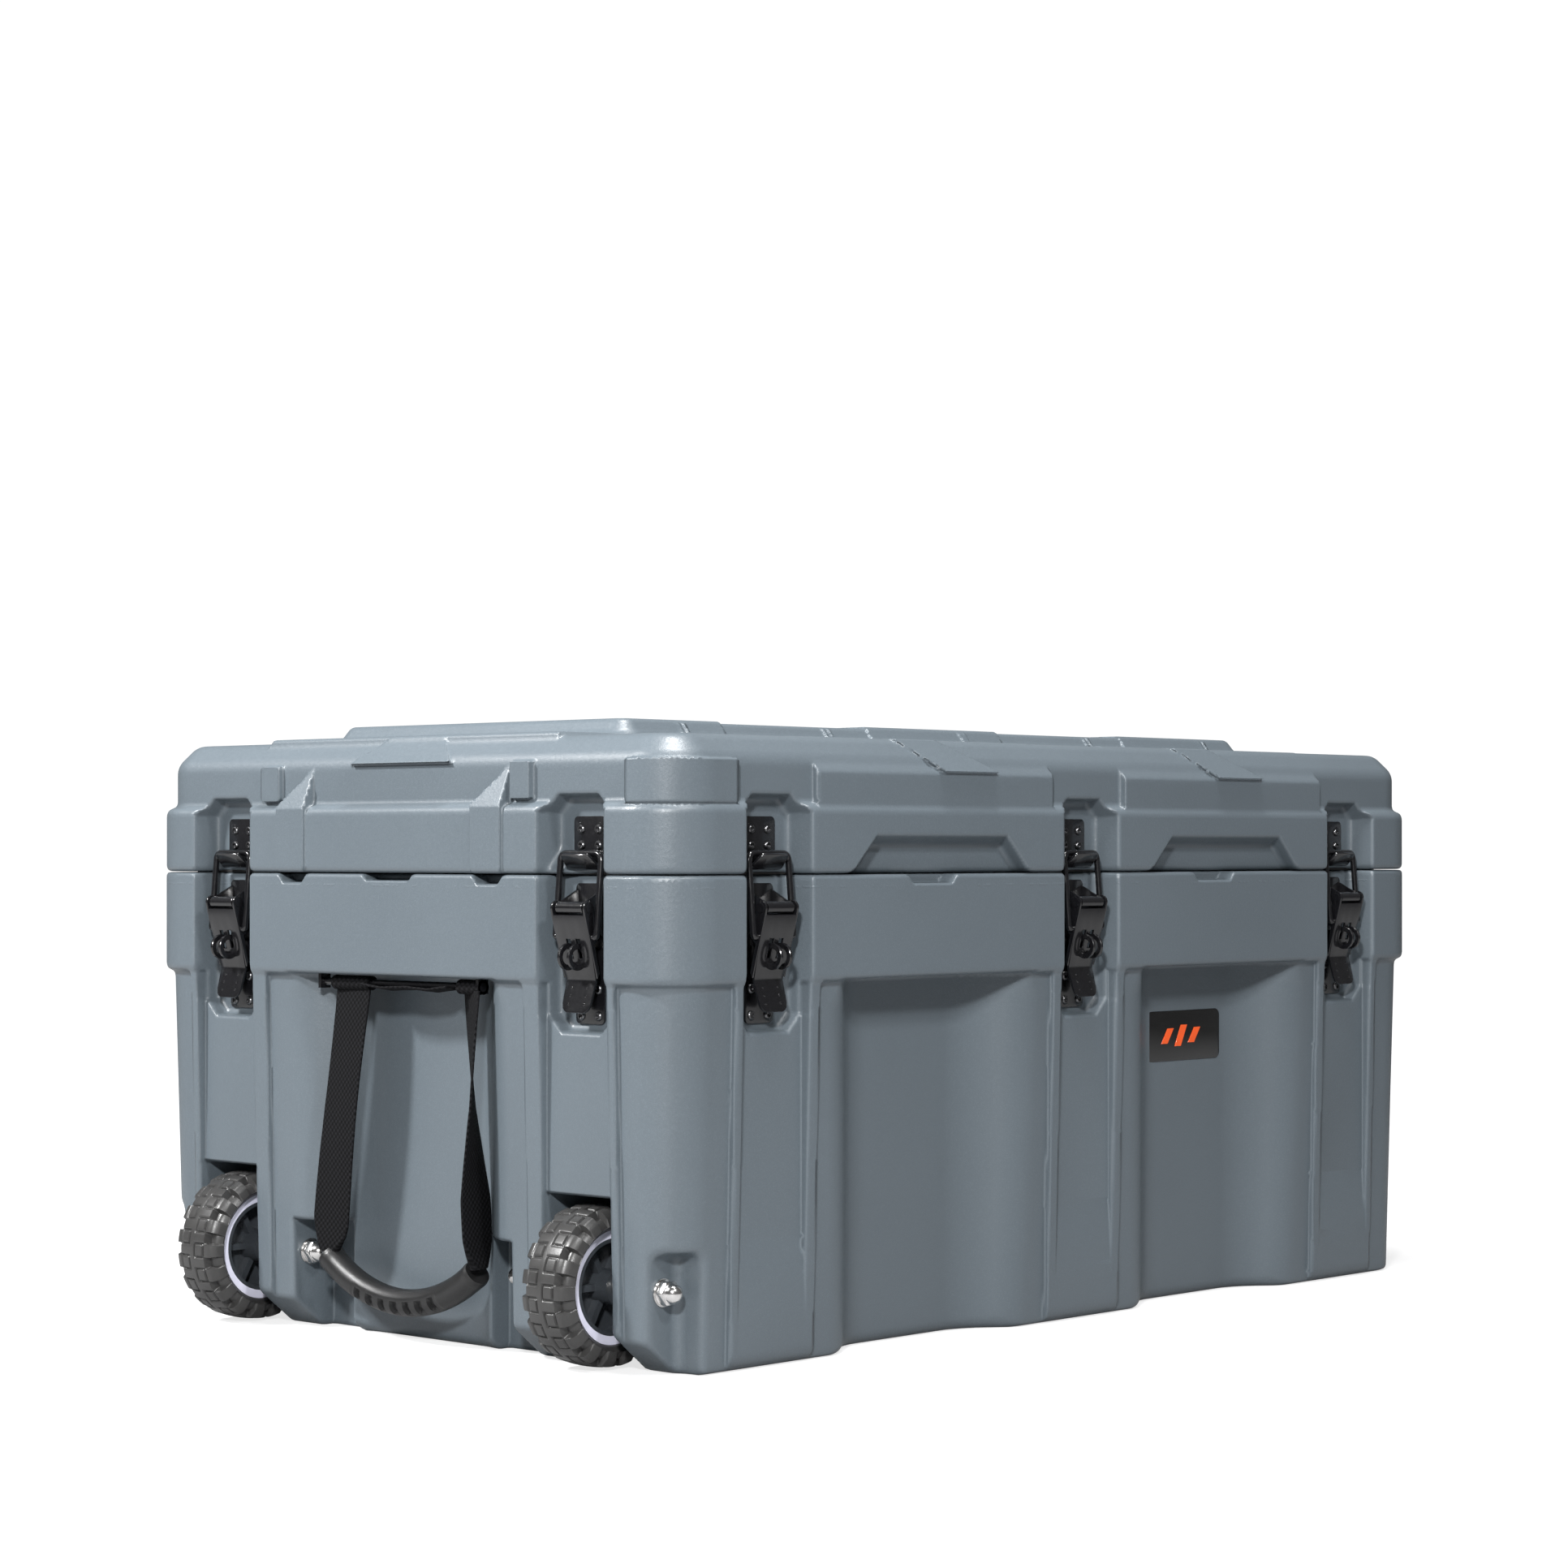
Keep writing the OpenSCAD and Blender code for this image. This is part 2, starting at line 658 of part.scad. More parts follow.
module axle_spacers() {
    gap = well_half - hub_half;
    color(STEEL) each_axle() for (y = [latch_b - well_half, latch_b + hub_half + TOL]) difference() {
        tube_y(8, y, y + gap - TOL);
        tube_y(axle_d / 2 + 0.02, y - 1, y + gap + 1);
    }
}

// ---------- strap handles ----------

// Frame of a handle: -X is outwards, Y along the anchor bar, origin on the bar
module at_handle(far) {
    translate([shift_x, 0, 0]) rotate([0, 0, far ? 180 : 0])
        translate([-case_l / 2 + bar_in, 0, anchor_z]) children();
}

module strap_anchors() {
    color(STEEL) for (far = [false, true]) at_handle(far) {
        tube_y(bar_r, strap_mid - bar_len / 2, strap_mid + bar_len / 2);
        for (s = [-1, 1]) translate([-5, strap_mid + s * bar_len / 2 - 1.5, -5])
            cube([10, 3, rim_z - anchor_z + 5]);
    }
}

module leg(i, half) {
    hull() for (end = [0, 1]) translate([0, end == 0 ? leg_top[i] : leg_low[i], end == 0 ? -sleeve_r : -strap_drop])
        cube([strap_t, 2 * half, 1], center = true);
}

module strap(far) {
    color(BLACK) at_handle(far) {
        difference() {
            tube_y(sleeve_r, leg_top[1] - 14, leg_top[0] + strap_w / 2);
            tube_y(bar_r + TOL, leg_top[1] - 40, leg_top[0] + 40);
        }
        leg(0, strap_w / 2);
        leg(1, strap_w / 2 - 10); // this leg hangs twisted, so it looks narrower
    }
}

// Curved grip, an arc that sags between the two strap ends
module grip(far) {
    bend_r = (pow(grip_span / 2, 2) + pow(grip_sag, 2)) / (2 * grip_sag);
    half_angle = asin(grip_span / 2 / bend_r);
    mid = (leg_low[0] + leg_low[1]) / 2;
    color(RUBBER) at_handle(far) difference() {
        translate([0, mid, -strap_drop - 4 - grip_sag + bend_r]) rotate([0, -90, 0])
            rotate([0, 0, 180 - half_angle]) rotate_extrude(angle = 2 * half_angle)
                translate([bend_r, 0]) circle(grip_d / 2);
        leg(0, strap_w / 2);
        leg(1, strap_w / 2 - 10);
    }
}

module group_of(side) {
    translate([shift_x, 0, 0]) for (i = side[1]) at_latch(i) children();
}

for (b = TUB_BLOCKS) within(b) tub_moulding();
for (b = LID_BLOCKS) within(b) lid_moulding();
lid_gasket();
badge();
for (s = SIDES) {
    color(BLACK) group_of(s) bracket();
    color(BLACK) group_of(s) keeper();
}
for (i = [0:9]) {
    color(BLACK) translate([shift_x, 0, 0]) at_latch(i) lever();
    color(BLACK) translate([shift_x, 0, 0]) at_latch(i) bail();
}
latch_pins();
bracket_screws();
keeper_screws();
tyre(1);  // tyre_left
tyre(-1);  // tyre_right
hub(1);  // hub_left
hub(-1);  // hub_right
hub_trim(1);  // hub_trim_left
hub_trim(-1);  // hub_trim_right
axle_bolts();
axle_nuts();
axle_washers();
axle_spacers();
strap_anchors();
strap(false);  // strap_wheel_end
strap(true);  // strap_far_end
grip(false);  // grip_wheel_end
grip(true);  // grip_far_end
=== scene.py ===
"""A rugged rolling storage case: moulded tub and lid, draw latches, knobbly wheels and webbing handles.

Lengths inside the classes are millimetres, measured from the middle of the case.
The wheels are at the -X end.
"""

import json
import logging
import math
from dataclasses import dataclass, field
from enum import Enum
from typing import Callable, Iterable, Sequence

import bmesh
import bpy
import numpy as np
from mathutils import Matrix, Vector


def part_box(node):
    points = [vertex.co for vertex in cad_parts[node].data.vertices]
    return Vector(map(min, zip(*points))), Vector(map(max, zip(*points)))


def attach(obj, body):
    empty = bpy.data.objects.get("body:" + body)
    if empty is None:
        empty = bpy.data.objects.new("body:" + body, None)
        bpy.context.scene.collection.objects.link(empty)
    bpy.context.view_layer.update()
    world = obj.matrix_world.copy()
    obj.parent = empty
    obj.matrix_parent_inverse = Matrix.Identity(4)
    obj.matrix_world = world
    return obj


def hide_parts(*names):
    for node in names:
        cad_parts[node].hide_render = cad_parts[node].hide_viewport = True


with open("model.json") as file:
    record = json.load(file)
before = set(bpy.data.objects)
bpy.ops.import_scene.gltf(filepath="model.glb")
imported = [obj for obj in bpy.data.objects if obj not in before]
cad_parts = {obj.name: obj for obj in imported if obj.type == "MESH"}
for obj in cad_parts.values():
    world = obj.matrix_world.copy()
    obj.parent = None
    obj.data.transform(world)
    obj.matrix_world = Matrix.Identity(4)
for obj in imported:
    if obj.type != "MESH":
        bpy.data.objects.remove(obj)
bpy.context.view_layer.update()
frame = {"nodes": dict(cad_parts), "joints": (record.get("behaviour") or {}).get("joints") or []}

MM = 0.001
DIAGONAL = 0.7071
INNER_NUT_GAP = 1.6
TUB_BLOCKS = ("front_1", "front_2", "back_1", "back_2", "wheel_end", "far_end", "floor")
TUB_NODES = [f"tub_{n}" for n in TUB_BLOCKS]
LID_NODES = [f"lid_{n}" for n in ("front", "back", "wheel_end", "far_end", "top")]
Array = np.ndarray
Point = tuple[float, float]
logging.basicConfig(level=logging.INFO, format="%(message)s")
log = logging.getLogger("case")


# ---------- materials ----------


class Wire:
    """A number that runs through a material's nodes, so that it can be used in plain arithmetic."""

    def __init__(self, dress: "Dress", socket: bpy.types.NodeSocket) -> None:
        """Keeps the socket and the material it belongs to.

        Args:
            dress: the material being built.
            socket: the output that carries the number.
        """
        self.dress = dress
        self.socket = socket

    def _with(self, operation: str, a: "Wire | float", b: "Wire | float") -> "Wire":
        """Returns the result of one Math node."""
        made = self.dress.node("ShaderNodeMath", {"operation": operation}, {0: a, 1: b})
        return Wire(self.dress, made.outputs[0])

    def __add__(self, other: "Wire | float") -> "Wire":
        """Returns self + other."""
        return self._with("ADD", self, other)

    def __radd__(self, other: float) -> "Wire":
        """Returns other + self."""
        return self._with("ADD", other, self)

    def __sub__(self, other: "Wire | float") -> "Wire":
        """Returns self - other."""
        return self._with("SUBTRACT", self, other)

    def __rsub__(self, other: float) -> "Wire":
        """Returns other - self."""
        return self._with("SUBTRACT", other, self)

    def __mul__(self, other: "Wire | float") -> "Wire":
        """Returns self * other."""
        return self._with("MULTIPLY", self, other)

    def __rmul__(self, other: float) -> "Wire":
        """Returns other * self."""
        return self._with("MULTIPLY", other, self)

    def sine(self) -> "Wire":
        """Returns the sine of the number."""
        return self._with("SINE", self, 0.0)

    def size(self) -> "Wire":
        """Returns the number without its sign."""
        return self._with("ABSOLUTE", self, 0.0)

    def above(self, limit: float, soft: float) -> "Wire":
        """Returns 0 below a limit and 1 above it.

        Args:
            limit: where the step is.
            soft: half the width of the step.

        Returns:
            The step, rising smoothly.
        """
        made = self.dress.node(
            "ShaderNodeMapRange",
            {"interpolation_type": "SMOOTHSTEP"},
            {"Value": self, "From Min": limit - soft, "From Max": limit + soft},
        )
        return Wire(self.dress, made.outputs["Result"])


class Dress:
    """One procedural material, built node by node."""

    def __init__(self, name: str) -> None:
        """Starts an empty material.

        Args:
            name: the material's name.
        """
        self.material = bpy.data.materials.new(name)
        self.material.use_nodes = True
        self.tree = self.material.node_tree
        self.shader = self.tree.nodes["Principled BSDF"]
        self.place = self.node("ShaderNodeTexCoord", {}, {}).outputs["Object"]

    def node(self, kind: str, settings: dict, inputs: dict) -> bpy.types.Node:
        """Adds any node.

        Args:
            kind: Blender's name of the node type.
            settings: the node's own properties, set first.
            inputs: a value, a socket or a Wire for each input, by name or number.

        Returns:
            The node.
        """
        made = self.tree.nodes.new(kind)
        for name, value in settings.items():
            setattr(made, name, value)
        for key, value in inputs.items():
            self.feed(made.inputs[key], value)
        return made

    def feed(self, target: bpy.types.NodeSocket, value: object) -> None:
        """Links a Wire or a socket to an input, or sets the input's value."""
        if isinstance(value, Wire):
            self.tree.links.new(value.socket, target)
        elif isinstance(value, bpy.types.NodeSocket):
            self.tree.links.new(value, target)
        else:
            target.default_value = value

    def noise(self, scale: float, detail: float = 2.0, rough: float = 0.5) -> Wire:
        """Adds a noise over the surface.

        Args:
            scale: how many grains to a metre.
            detail: how many finer layers it has.
            rough: how strong those layers are.

        Returns:
            A number from 0 to 1.
        """
        made = self.node(
            "ShaderNodeTexNoise", {},
            {"Vector": self.place, "Scale": scale, "Detail": detail, "Roughness": rough},
        )
        return Wire(self, made.outputs[0])

    def across(self, axis: str) -> Wire:
        """Returns the place along X, Y or Z, in metres."""
        made = self.node("ShaderNodeSeparateXYZ", {}, {0: self.place})
        return Wire(self, made.outputs[axis])

    def blend(self, share: Wire, low: Sequence[float], high: Sequence[float]) -> bpy.types.NodeSocket:
        """Mixes two colours.

        Args:
            share: 0 for the first colour, 1 for the second.
            low: the first colour.
            high: the second colour.

        Returns:
            The colour's socket.
        """
        values = {0: share, 6: (*low, 1.0), 7: (*high, 1.0)}
        made = self.node("ShaderNodeMix", {"data_type": "RGBA"}, values)
        return made.outputs[2]

    def bump(self, height: Wire, depth: float, strength: float = 1.0) -> None:
        """Raises the surface.

        Args:
            height: 0 for the lowest place, 1 for the highest.
            depth: the real height in metres.
            strength: how much of it shows.
        """
        made = self.node("ShaderNodeBump", {}, {"Height": height, "Distance": depth, "Strength": strength})
        self.feed(self.shader.inputs["Normal"], made.outputs[0])

    def coat(self, **values: object) -> bpy.types.Material:
        """Feeds the shader's sockets, named with _ for a space.

        Returns:
            The finished material.
        """
        for name, value in values.items():
            self.feed(self.shader.inputs[name.replace("_", " ").title().replace("Ior", "IOR")], value)
        return self.material


def shade(colour: Sequence[float], share: float) -> tuple[float, ...]:
    """Returns a colour made lighter or darker by a share."""
    return tuple(min(1.0, c * share) for c in colour)


@dataclass(frozen=True)
class MouldedPlastic:
    """Rotomoulded plastic: satin, pebbled, with a fine light speckle."""

    name: str = "moulded_blue_grey"
    colour: tuple[float, float, float] = (0.098, 0.119, 0.136)
    pebbles: float = 420.0
    grain: float = 1500.0
    roughness: float = 0.36
    seam_z: float = 0.355

    def dress(self) -> bpy.types.Material:
        """Returns the material."""
        d = Dress(self.name)
        pebble, grain, cloud = d.noise(self.pebbles, 3, 0.6), d.noise(self.grain, 2, 0.7), d.noise(5, 3)
        speckle = (grain * 0.75 + pebble * 0.25).above(0.57, 0.10)
        share = speckle * 0.5 + cloud * 0.5
        flash = 1 - ((d.across("Z") - self.seam_z).size()).above(0.0007, 0.0005)
        broken = flash * d.noise(60, 4, 0.8).above(0.54, 0.05)
        d.bump(pebble * 0.6 + grain * 0.3 + broken * 0.8, 0.00045, 0.55)
        colour = d.blend(share, shade(self.colour, 0.86), shade(self.colour, 1.22))
        return d.coat(base_color=colour, roughness=self.roughness + (pebble - 0.5) * 0.25 + cloud * 0.05)


@dataclass(frozen=True)
class BlackSteel:
    """Pressed steel with a glossy black coat."""

    name: str = "latch_black"
    colour: tuple[float, float, float] = (0.005, 0.005, 0.006)
    roughness: float = 0.16
    peel: float = 220.0

    def dress(self) -> bpy.types.Material:
        """Returns the material."""
        d = Dress(self.name)
        peel, dust = d.noise(self.peel, 2), d.noise(900, 4, 0.7)
        d.bump(peel, 0.00008, 0.5)
        d.shader.inputs["Coat Roughness"].default_value = 0.06
        d.shader.inputs["IOR"].default_value = 1.5
        colour = d.blend(dust.above(0.62, 0.08), self.colour, shade(self.colour, 2.4))
        return d.coat(base_color=colour, roughness=self.roughness + peel * 0.12, coat_weight=0.25)


@dataclass(frozen=True)
class BrightSteel:
    """Polished or brushed stainless steel."""

    name: str
    colour: tuple[float, float, float] = (0.70, 0.69, 0.68)
    roughness: float = 0.14

    def dress(self) -> bpy.types.Material:
        """Returns the material."""
        d = Dress(self.name)
        stain, scratch = d.noise(130, 3), d.noise(1400, 2)
        d.bump(scratch, 0.00003, 0.4)
        colour = d.blend(stain, shade(self.colour, 0.85), shade(self.colour, 1.1))
        return d.coat(base_color=colour, roughness=self.roughness + stain * 0.12, metallic=1.0)


@dataclass(frozen=True)
class SoftBlack:
    """Moulded rubber or plastic: tyre, grip, hub, gasket and the pale ring on the hub."""

    name: str
    colour: tuple[float, float, float]
    roughness: float
    grain: float = 900.0
    depth: float = 0.0001

    def dress(self) -> bpy.types.Material:
        """Returns the material."""
        d = Dress(self.name)
        grain, scuff = d.noise(self.grain, 3, 0.6), d.noise(45, 4, 0.65)
        d.bump(grain, self.depth, 0.6)
        colour = d.blend(scuff, shade(self.colour, 0.75), shade(self.colour, 1.3))
        roughness = self.roughness + (grain - 0.5) * 0.2 + (scuff - 0.5) * 0.15
        return d.coat(base_color=colour, roughness=roughness)


@dataclass(frozen=True)
class WovenBlack:
    """Black polyester webbing with a plain basket weave, with painted shade in the weave's hollows and a
    painted highlight on its ridges.
    """

    name: str = "webbing_black"
    colour: tuple[float, float, float] = (0.0036, 0.0036, 0.0042)
    rib: float = 0.0024

    def dress(self) -> bpy.types.Material:
        """Returns the material."""
        d = Dress(self.name)
        turn = math.pi / self.rib
        weft = (d.across("Z") * turn + d.noise(35) * 1.5).sine()
        warp = ((d.across("Y") * 0.9 + d.across("X") * 0.6) * turn).sine()
        weave = weft * warp * 0.5 + 0.5
        d.bump(weave, 0.0007, 1.0)
        d.shader.inputs["Specular IOR Level"].default_value = 0.12
        # painted shade and painted highlight: the colour follows the weave's height, darker in its hollows
        # and lighter on its ridges
        colour = d.blend(weave, shade(self.colour, 0.2), shade(self.colour, 2.6))
        return d.coat(base_color=colour, roughness=0.72 + d.noise(300) * 0.2)


@dataclass(frozen=True)
class BadgeInk:
    """Gloss paint or gloss plastic on the badge."""

    name: str
    colour: tuple[float, float, float]
    roughness: float = 0.2

    def dress(self) -> bpy.types.Material:
        """Returns the material."""
        d = Dress(self.name)
        flow = d.noise(70, 2)
        d.bump(flow, 0.00005, 0.3)
        colour = d.blend(flow, shade(self.colour, 0.9), shade(self.colour, 1.08))
        return d.coat(base_color=colour, roughness=self.roughness + flow * 0.08, coat_weight=0.4)


class Finish(Enum):
    """Every finish on the case."""

    SHELL = MouldedPlastic()
    BLACK_STEEL = BlackSteel()
    DOME_NUT = BrightSteel("nut_polished")
    SCREW = BrightSteel("screw_dark_plate", (0.16, 0.16, 0.165), 0.24)
    TYRE = SoftBlack("tyre_rubber", (0.034, 0.0335, 0.033), 0.34, 700, 0.00012)
    HUB = SoftBlack("hub_charcoal", (0.035, 0.040, 0.046), 0.38)
    TRIM = SoftBlack("hub_ring_pale", (0.66, 0.66, 0.80), 0.36, 500, 0.00003)
    GRIP = SoftBlack("grip_rubber", (0.0085, 0.0085, 0.0088), 0.40, 1100, 0.00016)
    GASKET = SoftBlack("gasket_rubber", (0.012, 0.012, 0.012), 0.7)
    WEBBING = WovenBlack()
    BADGE = BadgeInk("badge_gloss_black", (0.005, 0.005, 0.005))
    EMBLEM = BadgeInk("badge_orange", (0.86, 0.10, 0.012), 0.32)

    def material(self) -> bpy.types.Material:
        """Returns the finish's material, made the first time that it is asked for."""
        return bpy.data.materials.get(self.value.name) or self.value.dress()


# ---------- meshes ----------


@dataclass
class Shape:
    """A bare mesh in millimetres."""

    verts: Array
    faces: list[tuple[int, ...]]

    def __add__(self, other: "Shape") -> "Shape":
        """Returns both meshes as one."""
        n = len(self.verts)
        shifted = [tuple(i + n for i in f) for f in other.faces]
        return Shape(np.vstack([self.verts, other.verts]), self.faces + shifted)

    def moved(self, x: float = 0.0, y: float = 0.0, z: float = 0.0) -> "Shape":
        """Returns a copy that is moved."""
        return Shape(self.verts + np.array([x, y, z]), self.faces)

    def turned(self, matrix: Matrix) -> "Shape":
        """Returns a copy that is turned and moved by a matrix in millimetres."""
        m = np.array(matrix, float)
        return Shape(self.verts @ m[:3, :3].T + m[:3, 3], self.faces)

    def rounded(self, width: float, steps: int = 2, angle: float = 30.0) -> "Shape":
        """Rounds the sharp edges.

        Args:
            width: how far the rounding reaches from an edge.
            steps: how many facets it has.
            angle: edges sharper than this many degrees are rounded.

        Returns:
            The rounded mesh.
        """
        bm = bmesh.new()
        corners = [bm.verts.new(v) for v in self.verts]
        for f in self.faces:
            bm.faces.new([corners[i] for i in f])
        bmesh.ops.recalc_face_normals(bm, faces=bm.faces)
        limit = math.radians(angle)
        sharp = [e for e in bm.edges if len(e.link_faces) == 2 and e.calc_face_angle() > limit]
        bmesh.ops.bevel(
            bm, geom=sharp, offset=width, offset_type="OFFSET", segments=steps, profile=0.5, affect="EDGES",
            clamp_overlap=True,
        )
        bm.verts.index_update()
        faces = [tuple(v.index for v in f.verts) for f in bm.faces]
        made = Shape(np.array([v.co[:] for v in bm.verts]), faces)
        bm.free()
        return made


def joined(shapes: Iterable[Shape]) -> Shape:
    """Returns several meshes as one."""
    total = Shape(np.zeros((0, 3)), [])
    for s in shapes:
        total = total + s
    return total


def prism(outline: Sequence[Point], low: float, high: float) -> Shape:
    """Extrudes an outline along Z.

    Args:
        outline: points in X and Y, counter-clockwise.
        low: where it starts.
        high: where it ends.

    Returns:
        The closed solid.
    """
    n = len(outline)
    verts = np.array([(*p, h) for h in (low, high) for p in outline], float)
    sides = [(i, (i + 1) % n, n + (i + 1) % n, n + i) for i in range(n)]
    return Shape(verts, [tuple(reversed(range(n))), tuple(range(n, 2 * n)), *sides])


def plate_outline(half_x: float, half_y: float, radius: float, steps: int = 5) -> list[Point]:
    """Returns a rectangle with round corners, counter-clockwise."""
    points = []
    for k, (sx, sy) in enumerate(((1, 1), (-1, 1), (-1, -1), (1, -1))):
        for i in range(steps + 1):
            a = math.radians(90 * k + 90 * i / steps)
            x = sx * (half_x - radius) + radius * math.cos(a)
            y = sy * (half_y - radius) + radius * math.sin(a)
            points.append((x, y))
    return points


def lathe(profile: Sequence[Point], sides: int = 32) -> Shape:
    """Turns a closed profile round the Z axis.

    Args:
        profile: points as radius and height, all with a radius above zero.
        sides: how many facets go round.

    Returns:
        The ring.
    """
    n = len(profile)
    turns = np.arange(sides) * 2 * math.pi / sides
    verts = np.array([(r * math.cos(a), r * math.sin(a), h) for a in turns for r, h in profile])
    faces = []
    for i in range(sides):
        j = (i + 1) % sides
        faces += [(i * n + k, j * n + k, j * n + (k + 1) % n, i * n + (k + 1) % n) for k in range(n)]
    return Shape(verts, faces)


def along_x(shape: Shape) -> Shape:
    """Returns a shape whose Z axis is laid along X."""
    return shape.turned(Matrix.Rotation(math.pi / 2, 4, "Y"))


def along_y(shape: Shape) -> Shape:
    """Returns a shape whose Z axis is laid along -Y, outwards on a wall."""
    return shape.turned(Matrix.Rotation(math.pi / 2, 4, "X"))


def soft_path(points: Sequence[Sequence[float]], radius: float, steps: int = 5) -> Array:
    """Rounds the corners of a path.

    Args:
        points: the path's corners.
        radius: how far the rounding reaches from a corner.
        steps: how many points it has.

    Returns:
        The points of the rounded path.
    """
    p = np.array(points, float)
    out = [p[0]]
    for a, b, c in zip(p, p[1:], p[2:]):
        reach = min(radius, 0.45 * np.linalg.norm(b - a), 0.45 * np.linalg.norm(c - b))
        start = b + (a - b) / np.linalg.norm(a - b) * reach
        end = b + (c - b) / np.linalg.norm(c - b) * reach
        for t in np.linspace(0, 1, steps + 1):
            out.append((1 - t) ** 2 * start + 2 * t * (1 - t) * b + t * t * end)
    return np.array([*out, p[-1]])


def swept(path: Array, ring: Callable[[float], Array], start: Sequence[float]) -> Shape:
    """Carries a closed outline along a path.

    Args:
        path: the points of the path.
        ring: gives the outline at a share of the path's length, as points across and up.
        start: the direction that counts as across at the start.

    Returns:
        The closed solid.
    """
    steps = np.gradient(path, axis=0)
    steps /= np.linalg.norm(steps, axis=1)[:, None]
    across = np.array(start, float)
    length = np.concatenate([[0], np.cumsum(np.linalg.norm(np.diff(path, axis=0), axis=1))])
    rows = []
    for point, ahead, share in zip(path, steps, length / length[-1]):
        across = across - ahead * (across @ ahead)
        across /= np.linalg.norm(across)
        up = np.cross(ahead, across)
        rows.append(point + ring(share) @ np.array([across, up]))
    n = len(rows[0])
    faces = []
    for i in range(len(rows) - 1):
        here, ahead = i * n, (i + 1) * n
        faces += [(here + k, here + (k + 1) % n, ahead + (k + 1) % n, ahead + k) for k in range(n)]
    last = (len(rows) - 1) * n
    return Shape(np.vstack(rows), [*faces, tuple(reversed(range(n))), tuple(range(last, last + n))])


def circle(radius: float, sides: int = 12) -> Array:
    """Returns a circle's points."""
    a = np.arange(sides) * 2 * math.pi / sides
    return np.stack([np.cos(a), np.sin(a)], 1) * radius


def bent_sheet(
    line: Sequence[Point], halves: Sequence[float], thick: float, slots: Sequence[tuple[float, float]] = (),
    slot_z: Point = (0.0, 0.0),
) -> Shape:
    """Bends a strip of sheet metal along a line seen from the side.

    Args:
        line: points as distance out of the wall and height, with the sheet's outer face on the line.
        halves: half the strip's width at each point.
        thick: thickness of the sheet.
        slots: the start and end of each slot across the strip.
        slot_z: lowest and highest place of the slots.

    Returns:
        The closed strip.
    """
    path = np.array(line, float)
    run = np.gradient(path, axis=0)
    run /= np.linalg.norm(run, axis=1)[:, None]
    inward = np.stack([run[:, 1], -run[:, 0]], 1)
    if inward[0, 0] > 0:
        inward = -inward
    cuts = sorted({c for s in slots for c in s})
    verts, faces = [], []
    columns = len(cuts) + 2
    for (out, z), back, half in zip(path, inward, halves):
        for depth in (0.0, thick):
            row = [-half, *cuts, half]
            verts += [(u, -(out + back[0] * depth), z + back[1] * depth) for u in row]

    def at(i: int, side: int, k: int) -> int:
        """Returns the number of a vertex."""
        return (i * 2 + side) * columns + k

    def solid(i: int, k: int) -> bool:
        """Returns whether the strip has metal between two rows and two columns."""
        if not (0 <= i < len(path) - 1 and 0 <= k < columns - 1):
            return False
        middle = (verts[at(i, 0, k)][0] + verts[at(i, 0, k + 1)][0]) / 2
        z = (path[i][1] + path[i + 1][1]) / 2
        return not (slot_z[0] < z < slot_z[1] and any(a < middle < b for a, b in slots))

    for i in range(len(path) - 1):
        for k in range(columns - 1):
            if not solid(i, k):
                continue
            faces.append((at(i, 0, k), at(i, 0, k + 1), at(i + 1, 0, k + 1), at(i + 1, 0, k)))
            faces.append((at(i, 1, k), at(i + 1, 1, k), at(i + 1, 1, k + 1), at(i, 1, k + 1)))
            for (ii, kk), (p, q) in {
                (i - 1, k): ((i, k), (i, k + 1)), (i + 1, k): ((i + 1, k + 1), (i + 1, k)),
                (i, k - 1): ((i + 1, k), (i, k)), (i, k + 1): ((i, k + 1), (i + 1, k + 1)),
            }.items():
                if not solid(ii, kk):
                    faces.append(
                        (at(p[0], 0, p[1]), at(p[0], 1, p[1]), at(q[0], 1, q[1]), at(q[0], 0, q[1]))
                    )
    used = sorted({i for f in faces for i in f})
    number = {old: new for new, old in enumerate(used)}
    return Shape(np.array(verts, float)[used], [tuple(number[i] for i in f) for f in faces])


@dataclass
class Bench:
    """Where finished pieces are put: it knows the shift from the case's middle to the frame's origin."""

    shift: float

    def put(
        self, name: str, shape: Shape, body: str, slot: str, finish: Finish, stands_for: Sequence[str] = (),
        sharp: float = 35.0, normals: Array | None = None,
    ) -> bpy.types.Object:
        """Makes a piece and lets it ride on its body.

        Args:
            name: the piece's name.
            shape: its mesh, from the middle of the case.
            body: the body that it moves with.
            slot: the record's material slot; not used.
            finish: what it is made of.
            stands_for: the plain nodes that it replaces.
            sharp: edges sharper than this many degrees stay crisp.
            normals: the surface's own directions, where they are known.

        Returns:
            The object.
        """
        mesh = bpy.data.meshes.new(name)
        mesh.from_pydata(((shape.verts + [self.shift, 0, 0]) * MM).tolist(), [], shape.faces)
        mesh.validate()
        mesh.polygons.foreach_set("use_smooth", [True] * len(mesh.polygons))
        if normals is None:
            mesh.set_sharp_from_angle(angle=math.radians(sharp))
        else:
            mesh.normals_split_custom_set_from_vertices(normals.tolist())
        mesh.materials.append(finish.material())
        piece = bpy.data.objects.new(name, mesh)
        bpy.context.scene.collection.objects.link(piece)
        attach(piece, body)
        if stands_for:
            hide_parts(*stands_for)
        log.info("%s: %d faces on %s", name, len(mesh.polygons), body)
        return piece


# ---------- moulded shells ----------


def soft_min(a: Array, b: Array, k: float) -> Array:
    """Returns the smaller of two distances, with a fillet of about k where they meet."""
    h = np.maximum(k - np.abs(a - b), 0) / k
    return np.minimum(a, b) - h * h * (k * 0.25)


def soft_max(a: Array, b: Array, k: float) -> Array:
    """Returns the larger of two distances, rounded off by about k where they meet."""
    return -soft_min(-a, -b, k)


def cut(solid: Array, tool: Array, k: float) -> Array:
    """Returns a solid with a tool's shape taken out of it and the edge rounded by about k."""
    return soft_max(solid, -tool, k)


def most(*parts: Array) -> Array:
    """Returns the largest of several distances, with crisp edges."""
    out = parts[0]
    for p in parts[1:]:
        out = np.maximum(out, p)
    return out


